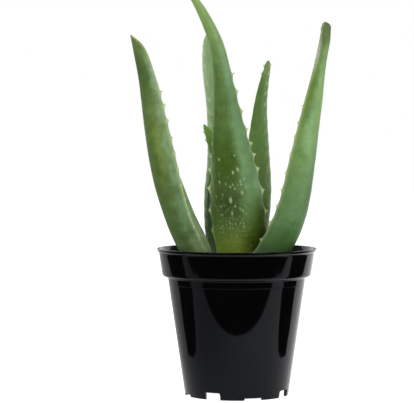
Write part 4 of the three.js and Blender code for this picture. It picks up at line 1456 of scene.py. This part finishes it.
def grow(name, plan, step, seed):
    """A leaf: a grid rolled up into crescent rings. A leaf's section changes all the way
    along, which no transform gives, so its points are placed by the blade's own curves."""
    blade = Blade(plan, step / MM)
    places, flats, shares = blade.points(seed)
    rings, around = places.shape[:2]
    leaf = start(
        bpy.ops.mesh.primitive_grid_add, name,
        x_subdivisions=around - 1, y_subdivisions=rings - 1, size=1, location=(0, 0, 0),
    )
    mesh = leaf.data
    if len(mesh.vertices) != rings * around:
        raise RuntimeError(f"{name}: the grid should have {rings * around} points")
    grid = np.zeros(rings * around * 3, np.float32)
    mesh.vertices.foreach_get("co", grid)
    grid = grid.reshape(-1, 3)
    # The grid's points by row and column, as the blade gives its own.
    order = np.lexsort((np.round(grid[:, 0], 5), np.round(grid[:, 1], 5)))

    def in_grid_order(values):
        """Values of the blade's points, as one flat row in the order of the grid's points."""
        row = np.zeros((rings * around, 3), np.float32)
        row[order] = values.reshape(-1, 3)
        return row.ravel()

    for attribute, values in (("leaf_flat", flats * (MM, MM, 1)), ("leaf_share", shares)):
        layer = mesh.attributes.new(attribute, "FLOAT_VECTOR", "POINT")
        layer.data.foreach_set("vector", in_grid_order(values))
    mesh.vertices.foreach_set("co", in_grid_order(places * MM + np.array(AXIS)))
    mesh.update()
    bpy.ops.object.mode_set(mode="EDIT")
    bpy.ops.mesh.select_all(action="SELECT")
    bpy.ops.mesh.remove_doubles(threshold=WELD)
    foot = (0, 0, LEAF_FOOT_HEIGHT * MM)
    bpy.ops.mesh.bisect(plane_co=foot, plane_no=(0, 0, 1), clear_inner=True, use_fill=True)
    end_edit()
    return leaf


class ALOE_OT_leaves(Operator):
    """Grows the six leaves with their teeth"""

    bl_idname = "aloe.leaves"
    bl_label = "Leaves"

    def execute(self, context):
        settings = context.scene.aloe_leaf
        for seed, (name, plan) in enumerate(LEAVES.items()):
            leaf = grow("aloe_" + name, plan, settings.ring_step, seed * SEED_STEP)
            smooth(leaf, degrees=60)
            finish_piece(leaf, "leaf", aloe_skin(name, SKINS[name], settings), name)
        return {"FINISHED"}


# ---- studio ----


def look_at(item, target):
    """Turns a light or camera towards a place."""
    item.rotation_euler = (Vector(target) - item.location).to_track_quat("-Z", "Y").to_euler()


def softbox(name, place, size, power):
    """A square soft light that looks at the plant."""
    bpy.ops.object.select_all(action="DESELECT")
    bpy.ops.object.light_add(type="AREA", location=place)
    light = bpy.context.active_object
    light.name = name
    light.data.shape = "SQUARE"
    light.data.size = size
    light.data.energy = power
    look_at(light, (AXIS.x, AXIS.y, LIGHTS_AIM_AT))


def card(name, outline, height, dim=0.0, bright=0.0):
    """A card over the floor that only reflections show, a painted reflection: a flat disc whose rim is
    moved to the card's outline. It glows from dim on the left to bright on the right, or is black."""
    piece = start(
        bpy.ops.mesh.primitive_circle_add, name, vertices=len(outline), fill_type="NGON",
        radius=1, location=(0, 0, 0),
    )
    for vertex, (x, y) in zip(piece.data.vertices, outline):
        vertex.co = (AXIS.x + x * MM, AXIS.y + y * MM, height * MM)
    # Painted reflection: matt black, or glowing as the floor's reflection, and it reflects next to
    # nothing.
    material, tree = new_tree("card_board_" + name)
    place = add(tree, "SeparateXYZ", {0: add(tree, "TexCoord", out="Object")}, "X")
    span = (DIM_AT * MM, BRIGHT_AT * MM, dim, bright)
    glow = add(tree, "MapRange", {"Value": place}, span=span, **SOFT)
    shader = add(
        tree, "BsdfPrincipled",
        {
            "Base Color": linear("#020202"), "Roughness": 1.0,
            "Emission Color": (1, 1, 1, 1), "Emission Strength": glow,
        },
    )
    add(tree, "OutputMaterial", {"Surface": shader})
    piece.data.materials.append(material)
    piece.visible_camera = False
    piece.visible_diffuse = False
    piece.visible_transmission = False
    piece.visible_volume_scatter = False
    piece.visible_shadow = False


class ALOE_OT_stage(Operator):
    """Sets up the pale floor, the soft light and the camera"""

    bl_idname = "aloe.stage"
    bl_label = "Studio"

    def execute(self, context):
        settings = context.scene.aloe_stage
        scene = context.scene
        scene.view_settings.view_transform = "Standard"
        floor = start(
            bpy.ops.mesh.primitive_plane_add, "studio_floor", size=FLOOR_SIDE, location=(0, 0, 0),
        )
        # Painted board, lit from below: pale and even, with hardly any gloss.
        material, tree = new_tree("studio_floor_painted")
        grain_size = 25 * MM
        place = add(tree, "TexCoord", out="Object")
        grain = add(tree, "TexNoise", {"Vector": place, "Scale": 1 / grain_size, "Detail": 2.0})
        rough = add(tree, "MapRange", {"Value": grain}, span=(0, 1, 0.85, 0.95))
        shader = add(
            tree, "BsdfPrincipled",
            {
                "Base Color": tuple(settings.floor), "Roughness": rough,
                "Specular IOR Level": 0.1, "Emission Color": (1, 1, 1, 1),
                "Emission Strength": settings.floor_glow,
            },
        )
        add(tree, "OutputMaterial", {"Surface": shader})
        floor.data.materials.append(material)

        card("studio_card_front", FRONT_CARD, CARD_HEIGHT)
        card("studio_card_right", SIDE_CARD, CARD_HEIGHT)
        card("studio_card_left", [(-x, y) for x, y in SIDE_CARD], CARD_HEIGHT)
        card("studio_card_bright", BRIGHT_CARD, BRIGHT_CARD_HEIGHT, *BRIGHT_CARD_GLOW)
        for name, (place, size, power) in SOFTBOXES.items():
            softbox(name, place, size, getattr(settings, power))

        # The camera sees a white backdrop, but all else gets less light from it.
        world = bpy.data.worlds.new("studio_world")
        scene.world = world
        world.use_nodes = True
        tree = world.node_tree
        tree.nodes.clear()
        seen = add(tree, "LightPath", out="Is Camera Ray")
        strength = add(tree, "MapRange", {"Value": seen}, span=(0, 1, settings.ambient, 1.0))
        light = add(tree, "Background", {"Color": (1, 1, 1, 1), "Strength": strength})
        add(tree, "OutputWorld", {"Surface": light})

        eye = Vector((AXIS.x - CAMERA_LEFT * MM, -settings.camera_distance, EYE_HEIGHT * MM))
        aim = Vector((eye.x, 0, AIM_HEIGHT * MM))
        bpy.ops.object.camera_add(location=eye)
        camera = context.active_object
        camera.name = "camera"
        look_at(camera, aim)
        camera.data.sensor_fit = "HORIZONTAL"
        camera.data.sensor_width = SENSOR_WIDTH
        camera.data.lens = SENSOR_WIDTH * (aim - eye).length / (PICTURE_WIDTH * PIXEL * MM)
        camera.data.dof.use_dof = False
        scene.camera = camera
        return {"FINISHED"}


class ALOE_PT_panel(Panel):
    """The plant's pieces and the studio, each with its settings"""

    bl_idname = "ALOE_PT_panel"
    bl_label = "Potted aloe"
    bl_space_type = "VIEW_3D"
    bl_region_type = "UI"
    bl_category = "Aloe"

    def draw(self, context):
        groups = [
            (ALOE_OT_pot, context.scene.aloe_pot),
            (ALOE_OT_mix, context.scene.aloe_mix),
            (ALOE_OT_crown, None),
            (ALOE_OT_leaves, context.scene.aloe_leaf),
            (ALOE_OT_stage, context.scene.aloe_stage),
        ]
        for operator, settings in groups:
            box = self.layout.box()
            box.operator(operator.bl_idname)
            if settings is not None:
                for name in settings.__annotations__:
                    box.prop(settings, name)


CLASSES = (
    PotSettings, MixSettings, LeafSettings, StageSettings,
    ALOE_OT_pot, ALOE_OT_mix, ALOE_OT_crown, ALOE_OT_leaves, ALOE_OT_stage, ALOE_PT_panel,
)
SETTINGS = {
    "aloe_pot": PotSettings,
    "aloe_mix": MixSettings,
    "aloe_leaf": LeafSettings,
    "aloe_stage": StageSettings,
}


def register():
    """Makes the classes known and hangs the settings on the scene."""
    for item in CLASSES:
        bpy.utils.register_class(item)
    for name, group in SETTINGS.items():
        setattr(bpy.types.Scene, name, PointerProperty(type=group))


def unregister():
    """Takes the settings and the classes away again."""
    for name in SETTINGS:
        delattr(bpy.types.Scene, name)
    for item in reversed(CLASSES):
        bpy.utils.unregister_class(item)


def main():
    """Makes the scene."""
    register()
    bpy.ops.aloe.stage()
    bpy.ops.aloe.pot()
    bpy.ops.aloe.mix()
    bpy.ops.aloe.crown()
    bpy.ops.aloe.leaves()


if __name__ == "__main__":
    main()
